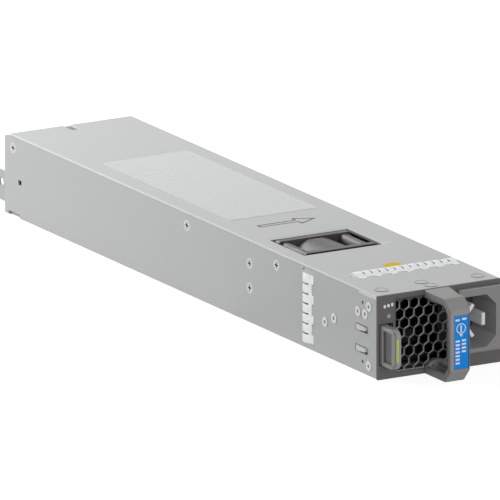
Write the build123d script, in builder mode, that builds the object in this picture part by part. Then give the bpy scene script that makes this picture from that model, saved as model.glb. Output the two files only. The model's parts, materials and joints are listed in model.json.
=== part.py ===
from build123d import *
from math import cos, radians, sin, sqrt
import os

os.makedirs("parts", exist_ok=True)

# Seen from the front, X runs to the right, Y to the rear and Z up.
# The origin is under the middle of the unit.

# Case
case_width = 66.0
case_height = 40.0
shell_length = 349.0
sheet = 0.9
bend_radius = 1.0
bezel_thickness = 1.4
handle_reach = 24.0
rear_reach = 10.0
touch_gap = 0.05
small_gap = 0.3
cut_through = 8.0

# Cover
corner_tab_length = 16.2
corner_tab_drop = 2.2
screw_tab_length = 12.0
screw_tab_thickness = 1.6
screw_tab_drop = 5.0
cover_screw_depths = (93.5, 177.0)
rear_screw_inset = 7.9
cover_screw_drop = 6.5
key_slot_width = 4.0
key_slot_length = 9.4
key_slot_left = 28.5
rear_step = 5.3
rear_slope_drop = 1.1
rear_lip_length = 10.6

# Fasteners
flat_head_radius = 2.75
flat_neck_radius = 1.95
thread_radius = 1.5
cross_length = 3.0
cross_width = 0.7
cross_depth = 0.7
rivet_head_radius = 2.4
rivet_head_rise = 0.35
rivet_shank_radius = 1.2
rivet_dimple_radius = 0.9
rivet_tail = 0.5
ring_rivet_radius = 3.25
ring_rivet_rise = 0.25
ring_rivet_lip = 0.5
pan_head_radius = 2.2
pan_head_height = 1.3
small_thread_radius = 1.0

# Bezel
bezel_flange = 1.0
bezel_flange_length = 15.0
side_flange_length = 20.6
lower_flange_length = 16.0
slot_bar = 1.2
window_bottom_margin = 2.5
window_top_margin = 2.2
window_to_inlet = 3.5
side_rivet_top = (8.1, 6.7)
side_rivets_slot = ((18.1, 2.4), (11.5, 2.5))
side_rivet_low = (8.2, 5.0)
flange_hole_depth = 14.0
flange_hole_radius = 0.8
flange_hole_top = 5.9
flange_hole_low = 5.75
ring_rivets_left = ((7.7, 10.0), (30.7, 12.8), (31.7, 5.8))
ring_rivet_right = (7.0, 9.5)

# Honeycomb
cell_pitch = 5.2
cell_wall = 0.45
grille_thickness = 1.0
grille_inset = 0.2
grille_lip = 0.4
grille_rim = 1.0
grille_rim_thickness = 0.8
grille_row_start = 3.38
cell_turn = 30.0

# Handle
handle_width = 10.5
handle_flare = 2.3
handle_flare_run = 11.0
handle_to_inlet = 4.3
handle_arm = 3.8
handle_grip = 3.0
handle_top_slope = (5.2, 4.9)
handle_bottom_slope = (5.3, 6.0)
handle_inner_slope = 3.6
handle_edge = 0.4
handle_pad = 2.4
pad_shoulder = 3.0
pad_crown = 6.6
groove_width = 2.6
groove_depth = 1.6
groove_rib = 1.2
handle_screw_height = 4.2
handle_label_width = 8.2
handle_label_right = 0.6
handle_label_top = 2.3
handle_label_bottom = 0.8
label_thickness = 0.2

# Latch
lever_left = 1.4
lever_width = 3.7
lever_drop = 3.3
lever_height = 18.8
lever_reach = 12.6
lever_tail = 6.0
lever_top_round = 4.0
lever_bottom_slope = 2.2
lever_front_round = 1.1
lever_groove_start = 2.0
lever_groove_length = 8.2
lever_groove_depth = 1.1
lever_groove_margin = 1.9
stripe_width = 1.3
stripe_length = 11.2
stripe_depth = 0.8
latch_slot_play = 0.5
latch_slot_swing = 3.1
plate_left = 1.7
plate_thickness = 1.0
plate_front = 2.4
plate_rear = 32.0
plate_margin = 0.8
tooth_front = 9.8
tooth_length = 10.2
tooth_reach = 1.2
tooth_height = 2.8
tooth_offsets = (4.9, -5.2)
tooth_play = 0.5
tooth_side_play = 0.3
tooth_flush = 0.1
tooth_taper = 1.2
tooth_taper_length = 8.0
leaf_thickness = 0.4
leaf_front = 27.0
leaf_rear = 52.0
leaf_height = 9.4
leaf_rise = 1.9
leaf_rivets = ((40.1, 3.7), (48.3, 0.1))

# Status light
light_left = 5.9
light_rise = 3.9
light_radius = 1.0
light_length = 4.4
light_collar_radius = 1.7
light_collar = 1.0
light_board = 1.2
light_board_width = 5.4
light_board_drop = 2.8

# Power inlet
inlet_right_margin = 0.7
inlet_top_margin = 2.15
inlet_width = 23.3
inlet_height = 31.1
inlet_proud = 3.0
inlet_shoulder = 1.0
inlet_depth = 22.0
inlet_back = 2.5
inlet_corner = 0.8
socket_width = 16.5
socket_height = 25.0
socket_left_margin = 3.1
socket_bottom_margin = 2.5
socket_slope = 5.0
blade_width = 6.0
blade_thickness = 2.0
blade_tip = 0.5
blade_setback = 3.0
blade_tail = 4.6
earth_blade_offset = 3.5
power_blade_offset = 3.7
power_blade_rise = 5.4
power_blade_turn = 37.0
inlet_board_gap = 1.6
inlet_board_thickness = 1.6
inlet_board_clear = 0.8
link_bar_width = 3.0
link_bar_thickness = 0.8
link_bar_drop = 9.15
link_bar_pitch = 7.0
link_bar_count = 3

# Spring finger strips
foil = 0.2
finger_length = 8.5
finger_rise = 1.5
finger_slit = 0.6
finger_slit_start = 3.4
clip_length = 1.7
clip_slot = 0.7
strip_hole_radius = 0.6
strip_hole_gap = 1.6
strip_hole_inset = 1.0
side_finger_count = 7
side_finger_pitch = 4.77
side_finger_bottom = 3.4
side_finger_depth = 60.6
top_finger_count = 13
top_finger_pitch = 4.15
top_finger_right = 3.0
top_finger_depth = 33.6

# Fan
fan_from_left = 29.5
fan_depth = 98.2
fan_length = 28.0
fan_inset = 0.2
fan_flange = 3.4
fan_corner = 2.0
fan_window_side = 0.0
fan_window_end = 0.9
fan_rim_width = 3.0
fan_rim_drop = 0.8
barrel_wall = 0.9
fan_hole_radius = 1.7
fan_hole_inset = 4.0
fan_post_radius = 3.4
fan_wire_slot = (5.0, 1.8)
tip_gap = 0.6
hub_radius = 10.4
hub_wall = 0.9
hub_length = 17.0
hub_front = 2.6
blade_count = 7
fan_blade_chord = 15.0
fan_blade_thickness = 1.0
fan_blade_root_turn = 38.0
fan_blade_tip_turn = 56.0
magnet_thickness = 1.0
fan_shaft_radius = 1.5
shaft_running_gap = 0.04
bearing_radius = 4.0
bearing_width = 3.0
bearing_tube_wall = 0.9
stator_gap = 0.4
stator_length = 9.0
stator_slot = 1.6
motor_base = 2.0
strut_width = 2.4
strut_count = 4
strut_turn = 45.0

# Board
board_rise = 3.1
board_thickness = 1.6
board_side_gap = 1.7
board_front = 12.0
board_rear_gap = 4.0
board_fan_gap = 1.0
tongue_left = 9.0
tongue_width = 48.0
tongue_reach = 9.0
tongue_play = 0.4
tongue_bevel = 0.4
contact_thickness = 0.1
contact_length = 7.0
power_contact_width = 8.0
power_contact_pitch = 9.2
power_contact_count = 4
signal_contact_width = 1.2
signal_contact_pitch = 2.0
signal_contact_count = 5
standoff_radius = 3.0
standoff_inset = 6.4
standoff_front_gap = 0.4
standoff_gap = 4.8
standoff_rear = 12.0
insulator_thickness = 0.3
insulator_margin = 1.2

# Rear panel
vent_radius = 1.6
vent_pitch = 4.3
vent_columns = 11
vent_rows = 6
vent_bottom_gap = 5.0
rear_tab_bottom = 5.1
rear_tab_height = 14.7
rear_tab_hole_radius = 2.0
rear_tab_hole_back = 4.8
rear_tab_hole_height = 14.0
rear_tab_corner = 2.0
rear_notch_inset = 3.4
rear_notch_length = 11.0
rear_notch_height = 2.0
rear_key_inset = 14.5
rear_key_height = 17.8
rear_key_size = (2.4, 3.0)

# Front electronics
choke_radius = 9.3
choke_bore = 4.0
choke_height = 11.0
choke_right = 14.5
choke_before_fan = 36.3
winding = 1.4
winding_gap = 5.0
film_capacitor_size = (18.0, 8.0, 15.0)
film_capacitor_right = 12.5
film_capacitor_before_fan = 22.7
film_capacitor_pitch = 9.4
fuse_radius = 2.6
fuse_length = 20.0
fuse_cap = 4.0
fuse_clip = 1.0
fuse_right = 29.0
fuse_before_fan = 40.2
relay_size = (10.0, 16.0, 15.0)
relay_right = 30.0
relay_before_fan = 16.2
disc_radius = 4.5
disc_thickness = 3.6
disc_count = 2
disc_pitch = 11.0
disc_left = 14.0
disc_before_fan = 26.2
disc_lead_radius = 0.4
disc_lead_spread = 2.5
disc_rise = 2.0

# Rear electronics
heatsink_gap = 2.6
heatsink_length = 51.0
heatsink_thickness = 3.0
heatsink_top = 33.6
heatsink_clear = 0.6
heatsink_screw_back = 3.6
heatsink_screw_heights = (28.6, 16.9)
bridge_size = (4.0, 16.0, 18.0)
bridge_back = 12.0
bridge_rise = 6.0
transistor_size = (4.6, 10.2, 16.0)
transistor_count = 2
transistor_gap = 0.8
transistor_rise = 2.0
power_choke_radius = 11.0
power_choke_bore = 5.0
power_choke_width = 12.0
power_choke_gap = 1.3
power_choke_behind_fan = 16.8
resonant_choke_size = (22.0, 20.0, 24.0)
resonant_choke_behind_fan = 41.8
bulk_radius = 12.5
bulk_length = 48.0
bulk_right = 14.6
bulk_front_gap = 4.0
bulk_pitch = 50.0
bulk_neck = 0.8
bulk_neck_start = 2.4
transformer_gap = 2.9
transformer_behind_fan = 57.8
transformer_size = (28.0, 33.0, 27.0)
transformer_core_band = 15.0
transformer_winding_inset = 1.5
rear_group_inset = 60.0
fin_base = 3.0
fin_height = 20.0
fin_thickness = 1.4
fin_count = 7
fin_pitch = 3.8
fin_left = 22.4
fin_gap = 13.0
output_capacitor_radius = 5.0
output_capacitor_height = 20.0
output_capacitor_pitch = 11.4
output_capacitor_columns = 2
output_capacitor_rows = 3
output_capacitor_right = 18.2
control_board_thickness = 1.2
control_board_length = 62.0
control_board_height = 26.0
control_board_right = 5.0
chip_size = (1.4, 9.0, 9.0)
chip_pitch = 16.0
chip_count = 3
chip_start = 8.0
bus_bar_width = 14.0
bus_bar_height = 3.0
bus_bar_length = 38.0
bus_bar_left = 19.0
lead_radius = 0.9
lead_rise = 6.0
plug_size = (7.0, 5.0, 6.0)
plug_right = 8.0
plug_gap = 6.0
lead_bend_share = 0.45

# Labels
top_label_left = 9.2
top_label_width = 47.7
top_label_length = 121.7
top_label_depth = 153.0
sticker_left = 34.7
sticker_depth = 45.4
sticker_size = (8.6, 6.2)
sticker_corner = 1.2

# Derived places
front_y = handle_reach - (handle_reach + bezel_thickness + shell_length + rear_reach) / 2
shell_front = front_y + bezel_thickness
shell_rear = shell_front + shell_length
cover_rear = shell_rear - rear_step
half_width = case_width / 2
inner_half = half_width - sheet
wall_height = case_height - sheet
mid_height = case_height / 2


def across(offset):
    """X of a point this far right of the left wall's outer face."""
    return offset - half_width


def from_right(offset):
    """X of a point this far left of the right wall's outer face."""
    return half_width - offset


def behind(depth):
    """Y of a point this far behind the bezel's front face."""
    return front_y + depth


def facing(depth):
    """A plane this far behind the bezel's front face that looks forwards."""
    return Plane.XZ.offset(-behind(depth))


def block(x_range, y_range, z_range, mode=Mode.ADD):
    """A straight block between two limits along each axis."""
    limits = (x_range, y_range, z_range)
    middle = [(low + high) / 2 for low, high in limits]
    size = [high - low for low, high in limits]
    with Locations(tuple(middle)):
        Box(*size, mode=mode)


def side_places(side, spots, lift=0.0):
    """Places on a side wall's outer face that look outwards; side is -1 for left and 1 for right."""
    x = side * (half_width + lift)
    return [Location((x, behind(depth), height), (0, side * 90, 0)) for depth, height in spots]


# Places that several pieces share
rear_depth = bezel_thickness + shell_length
screw_depths = (*cover_screw_depths, rear_depth - rear_screw_inset)
screw_height = case_height - cover_screw_drop
cover_spots = [(depth, screw_height) for depth in screw_depths]
cover_places = side_places(-1, cover_spots) + side_places(1, cover_spots)

fan_size = case_height - 2 * fan_inset
fan_x = across(fan_from_left)
fan_front = fan_depth - fan_length / 2
fan_rear = fan_depth + fan_length / 2
fan_window_width = fan_size + 2 * fan_window_side
fan_window_length = fan_length + 2 * fan_window_end
fan_window_x = (fan_x - fan_window_width / 2, fan_x + fan_window_width / 2)
fan_window_y = (behind(fan_depth) - fan_window_length / 2, behind(fan_depth) + fan_window_length / 2)

heatsink_front = fan_rear + heatsink_gap
heatsink_spots = [(heatsink_front + heatsink_screw_back, height) for height in heatsink_screw_heights]
heatsink_places = side_places(-1, heatsink_spots)

lever_middle = mid_height - lever_drop
lever_bottom = lever_middle - lever_height / 2
lever_top = lever_bottom + lever_height
slot_left = lever_left - latch_slot_play
slot_right = lever_left + lever_width + latch_slot_swing
slot_bottom = lever_bottom - latch_slot_play
slot_top = lever_top + latch_slot_play
light_height = lever_top + light_rise

side_rivet_spots = [
    (side_rivet_top[0], case_height - side_rivet_top[1]),
    *[(depth, slot_top + rise) for depth, rise in side_rivets_slot],
    side_rivet_low,
]
leaf_rivet_spots = [(depth, lever_middle + rise) for depth, rise in leaf_rivets]
flange_hole_heights = (case_height - flange_hole_top, flange_hole_low)
flange_hole_spots = [(flange_hole_depth, height) for height in flange_hole_heights]
ring_places = [Location((across(offset), behind(depth), case_height)) for offset, depth in ring_rivets_left]
ring_places += [Location((from_right(ring_rivet_right[0]), behind(ring_rivet_right[1]), case_height))]

inlet_right = from_right(inlet_right_margin)
inlet_left = inlet_right - inlet_width
inlet_top = case_height - inlet_top_margin
inlet_bottom = inlet_top - inlet_height
inlet_middle = (inlet_left + inlet_width / 2, inlet_bottom + inlet_height / 2)
socket_left = inlet_left + socket_left_margin
socket_right = socket_left + socket_width
socket_bottom = inlet_bottom + socket_bottom_margin
socket_top = socket_bottom + socket_height
socket_middle = (socket_left + socket_width / 2, socket_bottom + socket_height / 2)

window_left = across(slot_right + slot_bar)
window_right = inlet_left - window_to_inlet
window_bottom = window_bottom_margin
window_top = case_height - window_top_margin

pad_right = inlet_left - handle_to_inlet
handle_right = pad_right - handle_flare
handle_left = handle_right - handle_width
pad_width = pad_right - handle_left
pad_middle = (handle_left + pad_right) / 2
grip_tip = front_y - handle_reach
handle_screw_spots = [(pad_middle, handle_screw_height), (pad_middle, case_height - handle_screw_height)]

board_bottom = sheet + board_rise
board_top = board_bottom + board_thickness
board_left = -inner_half + board_side_gap
board_right = inner_half - board_side_gap
board_rear = shell_rear - sheet - board_rear_gap
bulk_x = from_right(bulk_right)
bulk_fronts = [fan_rear + bulk_front_gap + index * bulk_pitch for index in range(2)]
standoff_x = half_width - standoff_inset
bulk_rear = bulk_fronts[-1] + bulk_length
inlet_board_front = inlet_depth + inlet_board_gap
inlet_board_rear = inlet_board_front + inlet_board_thickness
board_head_radius = pan_head_radius + small_gap
front_row = behind(inlet_board_rear + link_bar_thickness + standoff_front_gap + board_head_radius)
standoff_rows = (front_row, behind(bulk_rear + standoff_gap), shell_rear - standoff_rear)
standoff_spots = [(side * standoff_x, y) for y in standoff_rows for side in (-1, 1)]
rear_group_front = shell_rear - rear_group_inset

top_finger_row = top_finger_count * top_finger_pitch - finger_slit
top_finger_left = from_right(top_finger_right) - top_finger_row
left_strip_start = (-half_width, behind(side_finger_depth), side_finger_bottom)
left_strip = Plane(left_strip_start, x_dir=(0, 1, 0), z_dir=(0, 0, 1))
top_strip_start = (top_finger_left, behind(top_finger_depth), case_height)
top_strip = Plane(top_strip_start, x_dir=(0, 1, 0), z_dir=(1, 0, 0))


def clip_slots(strip, count, pitch):
    """Cuts the slots that a finger strip's clips hook into."""
    for index in range(0, count, 2):
        with BuildSketch(strip.offset(index * pitch - finger_slit)) as slot:
            with Locations((-clip_length + clip_slot / 2 - foil / 2, 0)):
                Rectangle(clip_slot, cut_through)
        extrude(slot.sketch, amount=pitch, mode=Mode.SUBTRACT)


def finger_strip(strip, count, pitch):
    """A strip of arched contact fingers: its plane's X runs back, its Y outwards and its Z along the row."""
    with BuildSketch(strip) as arch:
        with BuildLine():
            outer = ThreePointArc((0, 0), (finger_length / 2, finger_rise), (finger_length, 0))
            Line(outer @ 1, (finger_length - foil, 0))
            ThreePointArc((finger_length - foil, 0), (finger_length / 2, finger_rise - foil), (foil, 0))
            Line((foil, 0), outer @ 0)
        make_face()
    extrude(arch.sketch, amount=count * pitch - finger_slit)
    for index in range(1, count):
        with BuildSketch(strip.offset(index * pitch - finger_slit)) as slit:
            with Locations((finger_slit_start, 0)):
                Rectangle(finger_length, finger_rise, align=Align.MIN)
        extrude(slit.sketch, amount=finger_slit, mode=Mode.SUBTRACT)
    for start in (0, count * pitch - finger_slit - foil):
        with BuildSketch(strip.offset(start)) as end_wall:
            with BuildLine():
                crown = ThreePointArc((0, 0), (finger_length / 2, finger_rise), (finger_length, 0))
                Line(crown @ 1, crown @ 0)
            make_face()
        extrude(end_wall.sketch, amount=foil)
    for index in range(0, count, 2):
        with BuildSketch(strip.offset(index * pitch)) as clip:
            with Locations((-clip_length, 0)):
                Rectangle(clip_length + 2 * foil, foil, align=Align.MIN)
            with Locations((-clip_length, foil)):
                Rectangle(foil, sheet + foil, align=(Align.MIN, Align.MAX))
        extrude(clip.sketch, amount=pitch - finger_slit)


def root_pads(grow=0.0, mode=Mode.ADD):
    """The arched outlines of the handle's two feet, at the bottom and the top of the bezel."""
    left = handle_left - grow
    right = pad_right + grow
    for end in (-1, 1):
        edge = mid_height + end * mid_height
        shoulder = edge - end * (pad_shoulder + grow)
        crown = edge - end * (pad_crown + grow)
        with BuildLine() as outline:
            Polyline((left, shoulder), (left, edge), (right, edge), (right, shoulder))
            ThreePointArc((right, shoulder), ((left + right) / 2, crown), (left, shoulder))
        make_face(outline.edges(), mode=mode)


# Chassis tray: a folded bottom with two side walls
with BuildPart() as chassis_tray:
    with BuildSketch(Plane.XZ.offset(-shell_rear)):
        Rectangle(case_width, wall_height, align=(Align.CENTER, Align.MIN))
        with Locations((0, sheet)):
            Rectangle(2 * inner_half, wall_height, align=(Align.CENTER, Align.MIN), mode=Mode.SUBTRACT)
    extrude(amount=shell_length)
    fillet(chassis_tray.edges().filter_by(Axis.Y).group_by(Axis.Z)[0], bend_radius)
    block(fan_window_x, fan_window_y, (-sheet, 2 * sheet), mode=Mode.SUBTRACT)
    with BuildSketch(Plane.YZ.offset(-half_width)):
        with BuildLine():
            Polyline(
                (cover_rear, wall_height),
                (shell_rear, wall_height),
                (shell_rear, wall_height - rear_slope_drop),
                close=True,
            )
        make_face()
    extrude(amount=case_width, mode=Mode.SUBTRACT)
    for side in (-1, 1):
        notch_x = sorted((side * (inner_half - touch_gap), side * (half_width + sheet)))
        notch_y = (shell_front - sheet, shell_front + corner_tab_length + touch_gap)
        block(notch_x, notch_y, (case_height - corner_tab_drop - touch_gap, case_height), mode=Mode.SUBTRACT)
    with Locations(*cover_places, *heatsink_places):
        Cone(
            flat_neck_radius + touch_gap,
            flat_head_radius + touch_gap,
            sheet,
            align=(Align.CENTER, Align.CENTER, Align.MAX),
            mode=Mode.SUBTRACT,
        )
    with Locations(*side_places(-1, side_rivet_spots + leaf_rivet_spots)):
        Cylinder(rivet_shank_radius + touch_gap, cut_through, mode=Mode.SUBTRACT)
    with Locations(*side_places(-1, flange_hole_spots)):
        Cylinder(flange_hole_radius, cut_through, mode=Mode.SUBTRACT)
    for offset in tooth_offsets:
        window_z = lever_middle + offset
        play = tooth_height / 2 + tooth_side_play
        window_y = (behind(tooth_front - tooth_play), behind(tooth_front + tooth_length + tooth_play))
        wall_x = (-half_width - sheet, -inner_half + sheet)
        block(wall_x, window_y, (window_z - play, window_z + play), mode=Mode.SUBTRACT)
    clip_slots(left_strip, side_finger_count, side_finger_pitch)
    mirrored_strip = Plane(left_strip.origin + (case_width, 0, 0), x_dir=(0, 1, 0), z_dir=(0, 0, 1))
    clip_slots(mirrored_strip, side_finger_count, side_finger_pitch)
    side_row_top = side_finger_bottom + side_finger_count * side_finger_pitch - finger_slit
    strip_hole_spot = (side_finger_depth + finger_length - strip_hole_inset, side_row_top + strip_hole_gap)
    with Locations(*side_places(-1, [strip_hole_spot]), *side_places(1, [strip_hole_spot])):
        Cylinder(strip_hole_radius, cut_through, mode=Mode.SUBTRACT)
    for side in (-1, 1):
        wall_x = sorted((side * (inner_half - sheet), side * (half_width + sheet)))
        notch_rear = shell_rear - rear_notch_inset
        notch_y = (notch_rear - rear_notch_length, notch_rear)
        block(wall_x, notch_y, (-sheet, rear_notch_height), mode=Mode.SUBTRACT)
        key_middle = shell_rear - rear_key_inset
        key_y = (key_middle - rear_key_size[1] / 2, key_middle + rear_key_size[1] / 2)
        key_z = (rear_key_height - rear_key_size[0] / 2, rear_key_height + rear_key_size[0] / 2)
        block(wall_x, key_y, key_z, mode=Mode.SUBTRACT)
    with Locations(*[(x, y, 0) for x, y in standoff_spots]):
        Cylinder(thread_radius + touch_gap, cut_through, mode=Mode.SUBTRACT)
chassis_tray.part.label = "chassis_tray"
export_step(chassis_tray.part, "parts/chassis_tray.step")

# Top cover: lies on the walls, hooks its front corners and takes the side screws in its inner tabs
with BuildPart() as cover_top:
    with BuildSketch(Plane.XY.offset(wall_height)):
        with Locations((0, (shell_front + cover_rear) / 2)):
            Rectangle(case_width, cover_rear - shell_front)
    extrude(amount=sheet)
    for side in (-1, 1):
        tab_x = sorted((side * inner_half, side * half_width))
        corner_y = (shell_front, shell_front + corner_tab_length)
        block(tab_x, corner_y, (case_height - corner_tab_drop, wall_height))
        inner_x = sorted((side * (inner_half - screw_tab_thickness), side * inner_half))
        for depth in screw_depths:
            tab_rear = min(behind(depth) + screw_tab_length / 2, cover_rear)
            tab_y = (behind(depth) - screw_tab_length / 2, tab_rear)
            block(inner_x, tab_y, (screw_height - screw_tab_drop, wall_height))
    rim_bottom = case_height - fan_rim_drop
    rim_size = (fan_window_width + 2 * fan_rim_width, fan_window_length + 2 * fan_rim_width)
    for low, high, mode in (
        (rim_bottom - sheet, case_height - sheet / 2, Mode.ADD),
        (rim_bottom, case_height, Mode.SUBTRACT),
    ):
        with BuildSketch(Plane.XY.offset(low)) as lower:
            with Locations((fan_x, behind(fan_depth))):
                Rectangle(fan_window_width, fan_window_length)
        with BuildSketch(Plane.XY.offset(high)) as upper:
            with Locations((fan_x, behind(fan_depth))):
                Rectangle(*rim_size)
        loft(sections=[lower.sketch, upper.sketch], mode=mode)
    block(fan_window_x, fan_window_y, (rim_bottom - 2 * sheet, case_height + sheet), mode=Mode.SUBTRACT)
    key_slot_x = (across(key_slot_left), across(key_slot_left + key_slot_width))
    key_slot_y = (cover_rear - key_slot_length, cover_rear)
    block(key_slot_x, key_slot_y, (wall_height, case_height), mode=Mode.SUBTRACT)
    with Locations(*cover_places):
        Cylinder(thread_radius + touch_gap, cut_through, mode=Mode.SUBTRACT)
    with Locations(*ring_places):
        Cylinder(rivet_shank_radius + touch_gap, cut_through, mode=Mode.SUBTRACT)
    clip_slots(top_strip, top_finger_count, top_finger_pitch)
    top_hole_y = behind(top_finger_depth + finger_length / 2)
    top_hole_x = (top_finger_left - strip_hole_gap, top_finger_left + top_finger_row + strip_hole_gap)
    with Locations(*[(x, top_hole_y, case_height) for x in top_hole_x]):
        Cylinder(strip_hole_radius, cut_through, mode=Mode.SUBTRACT)
cover_top.part.label = "cover_top"
export_step(cover_top.part, "parts/cover_top.step")

# Front bezel: a plate before the case with flanges that the rivets hold
with BuildPart() as front_bezel:
    with BuildSketch(facing(bezel_thickness)):
        with Locations((0, mid_height)):
            Rectangle(case_width, case_height)
        with Locations(((window_left + window_right) / 2, (window_bottom + window_top) / 2)):
            Rectangle(window_right - window_left, window_top - window_bottom, mode=Mode.SUBTRACT)
        root_pads()
        with Locations((across((slot_left + slot_right) / 2), (slot_bottom + slot_top) / 2)):
            Rectangle(slot_right - slot_left, slot_top - slot_bottom, mode=Mode.SUBTRACT)
        with Locations((across(light_left), light_height)):
            Circle(light_radius + touch_gap, mode=Mode.SUBTRACT)
        with Locations(inlet_middle):
            Rectangle(
                inlet_width - 2 * inlet_shoulder + 2 * touch_gap,
                inlet_height - 2 * inlet_shoulder + 2 * touch_gap,
                mode=Mode.SUBTRACT,
            )
        with Locations(*handle_screw_spots):
            Circle(small_thread_radius + touch_gap, mode=Mode.SUBTRACT)
    extrude(amount=bezel_thickness)
    flange_x = (-inner_half + bezel_flange + small_gap, inner_half - bezel_flange)
    flange_y = (shell_front, shell_front + bezel_flange_length)
    block(flange_x, flange_y, (wall_height - bezel_flange, wall_height))
    block(flange_x, flange_y, (sheet, sheet + bezel_flange))
    side_x = (-inner_half, -inner_half + bezel_flange)
    upper_y = (shell_front, shell_front + side_flange_length)
    block(side_x, upper_y, (slot_top + bezel_flange, wall_height - bezel_flange))
    lower_y = (shell_front, shell_front + lower_flange_length)
    block(side_x, lower_y, (sheet + bezel_flange, slot_bottom - bezel_flange))
    with Locations(*side_places(-1, side_rivet_spots)):
        Cylinder(rivet_shank_radius + touch_gap, cut_through, mode=Mode.SUBTRACT)
    with Locations(*side_places(-1, flange_hole_spots)):
        Cylinder(flange_hole_radius, cut_through, mode=Mode.SUBTRACT)
    with Locations(*ring_places):
        Cylinder(rivet_shank_radius + touch_gap, cut_through, mode=Mode.SUBTRACT)
front_bezel.part.label = "front_bezel"
export_step(front_bezel.part, "parts/front_bezel.step")

# Honeycomb vent grille: webs between six-sided cells, held by a rim behind the bezel
with BuildPart() as vent_grille:
    grille_plane = facing(grille_inset + grille_thickness)
    row_pitch = cell_pitch * sqrt(3) / 2
    cell_reach = (cell_pitch - cell_wall) / 2
    column_count = int((window_right - window_left) / cell_pitch) + 2
    row_count = int((window_top - window_bottom) / row_pitch) + 2
    with BuildSketch(grille_plane):
        with Locations(((window_left + window_right) / 2, (window_bottom + window_top) / 2)):
            Rectangle(window_right - window_left, window_top - window_bottom)
        for row in range(row_count):
            shift = cell_pitch / 2 * (row % 2)
            cell_z = window_top - grille_row_start - row * row_pitch
            for column in range(column_count):
                with Locations((window_left + column * cell_pitch - shift, cell_z)):
                    RegularPolygon(cell_reach, 6, major_radius=False, rotation=cell_turn, mode=Mode.SUBTRACT)
    extrude(amount=grille_thickness)
    with BuildSketch(facing(bezel_thickness + grille_rim_thickness)):
        with Locations(((window_left + window_right) / 2, (window_bottom + window_top) / 2)):
            Rectangle(window_right - window_left, window_top - window_bottom)
            Rectangle(
                window_right - window_left - 2 * grille_lip,
                window_top - window_bottom - 2 * grille_lip,
                mode=Mode.SUBTRACT,
            )
    extrude(amount=bezel_thickness + grille_rim_thickness - grille_inset)
    with BuildSketch(facing(bezel_thickness + grille_rim_thickness)):
        rim_left = window_left - grille_rim
        rim_right = window_right + grille_rim
        rim_low = sheet + bezel_flange + touch_gap
        rim_high = wall_height - bezel_flange - touch_gap
        with Locations(((rim_left + rim_right) / 2, (rim_low + rim_high) / 2)):
            Rectangle(rim_right - rim_left, rim_high - rim_low)
        with Locations(((window_left + window_right) / 2, (window_bottom + window_top) / 2)):
            Rectangle(window_right - window_left, window_top - window_bottom, mode=Mode.SUBTRACT)
    extrude(amount=grille_rim_thickness)
    with BuildSketch(facing(bezel_thickness + grille_rim_thickness)):
        root_pads(grow=touch_gap)
    extrude(amount=bezel_thickness + grille_rim_thickness, mode=Mode.SUBTRACT)
vent_grille.part.label = "vent_grille"
export_step(vent_grille.part, "parts/vent_grille.step")

# Pull handle: a bail with two arched feet and ribbed channels inside its arms
with BuildPart() as handle:
    grip_rear = grip_tip + handle_grip
    top_reach, top_drop = handle_top_slope
    bottom_reach, bottom_rise = handle_bottom_slope
    arm_top = case_height - handle_arm
    with BuildSketch(Plane.YZ.offset(handle_left)):
        with BuildLine():
            Polyline(
                (front_y, 0),
                (grip_tip + bottom_reach, 0),
                (grip_tip, bottom_rise),
                (grip_tip, case_height - top_drop),
                (grip_tip + top_reach, case_height),
                (front_y, case_height),
                close=True,
            )
        make_face()
        with BuildLine():
            Polyline(
                (front_y, handle_arm),
                (grip_rear + handle_inner_slope, handle_arm),
                (grip_rear, handle_arm + handle_inner_slope),
                (grip_rear, arm_top - handle_inner_slope),
                (grip_rear + handle_inner_slope, arm_top),
                (front_y, arm_top),
                close=True,
            )
        make_face(mode=Mode.SUBTRACT)
    extrude(amount=pad_width)
    with BuildSketch():
        with BuildLine():
            Polyline(
                (pad_right, front_y - handle_pad),
                (handle_right, front_y - handle_pad - handle_flare_run),
                (handle_right, grip_tip),
                (pad_right, grip_tip),
                close=True,
            )
        make_face()
    extrude(amount=case_height, mode=Mode.SUBTRACT)
    with BuildSketch(facing(0)):
        root_pads()
    extrude(amount=handle_pad)
    chamfer(handle.edges().filter_by(Axis.Z).group_by(Axis.Y)[0], handle_edge)
    for side in (-1, 1):
        groove_middle = (handle_left + handle_right) / 2 + side * (groove_rib + groove_width) / 2
        groove_x = (groove_middle - groove_width / 2, groove_middle + groove_width / 2)
        groove_y = (grip_rear + handle_inner_slope, front_y - handle_pad)
        block(groove_x, groove_y, (handle_arm - groove_depth, handle_arm), mode=Mode.SUBTRACT)
        block(groove_x, groove_y, (arm_top, arm_top + groove_depth), mode=Mode.SUBTRACT)
    with Locations(facing(0)):
        with Locations(*handle_screw_spots):
            Cylinder(small_thread_radius + touch_gap, 2 * handle_pad - 2 * touch_gap, mode=Mode.SUBTRACT)
    label_low = bottom_rise + handle_label_bottom
    label_high = case_height - top_drop - handle_label_top
    label_x = handle_right - handle_label_right - handle_label_width / 2
    label_spot = (label_x, (label_low + label_high) / 2)
    with BuildSketch(facing(-handle_reach)):
        with Locations(label_spot):
            Rectangle(handle_label_width, label_high - label_low)
    extrude(amount=-label_thickness, mode=Mode.SUBTRACT)
handle.part.label = "handle"
export_step(handle.part, "parts/handle.step")

# Handle label: a blank plate in a shallow recess of the grip
with BuildPart() as handle_label:
    with BuildSketch(facing(-handle_reach)):
        with Locations(label_spot):
            Rectangle(handle_label_width, label_high - label_low)
    extrude(amount=-label_thickness)
handle_label.part.label = "handle_label"
export_step(handle_label.part, "parts/handle_label.step")

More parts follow.
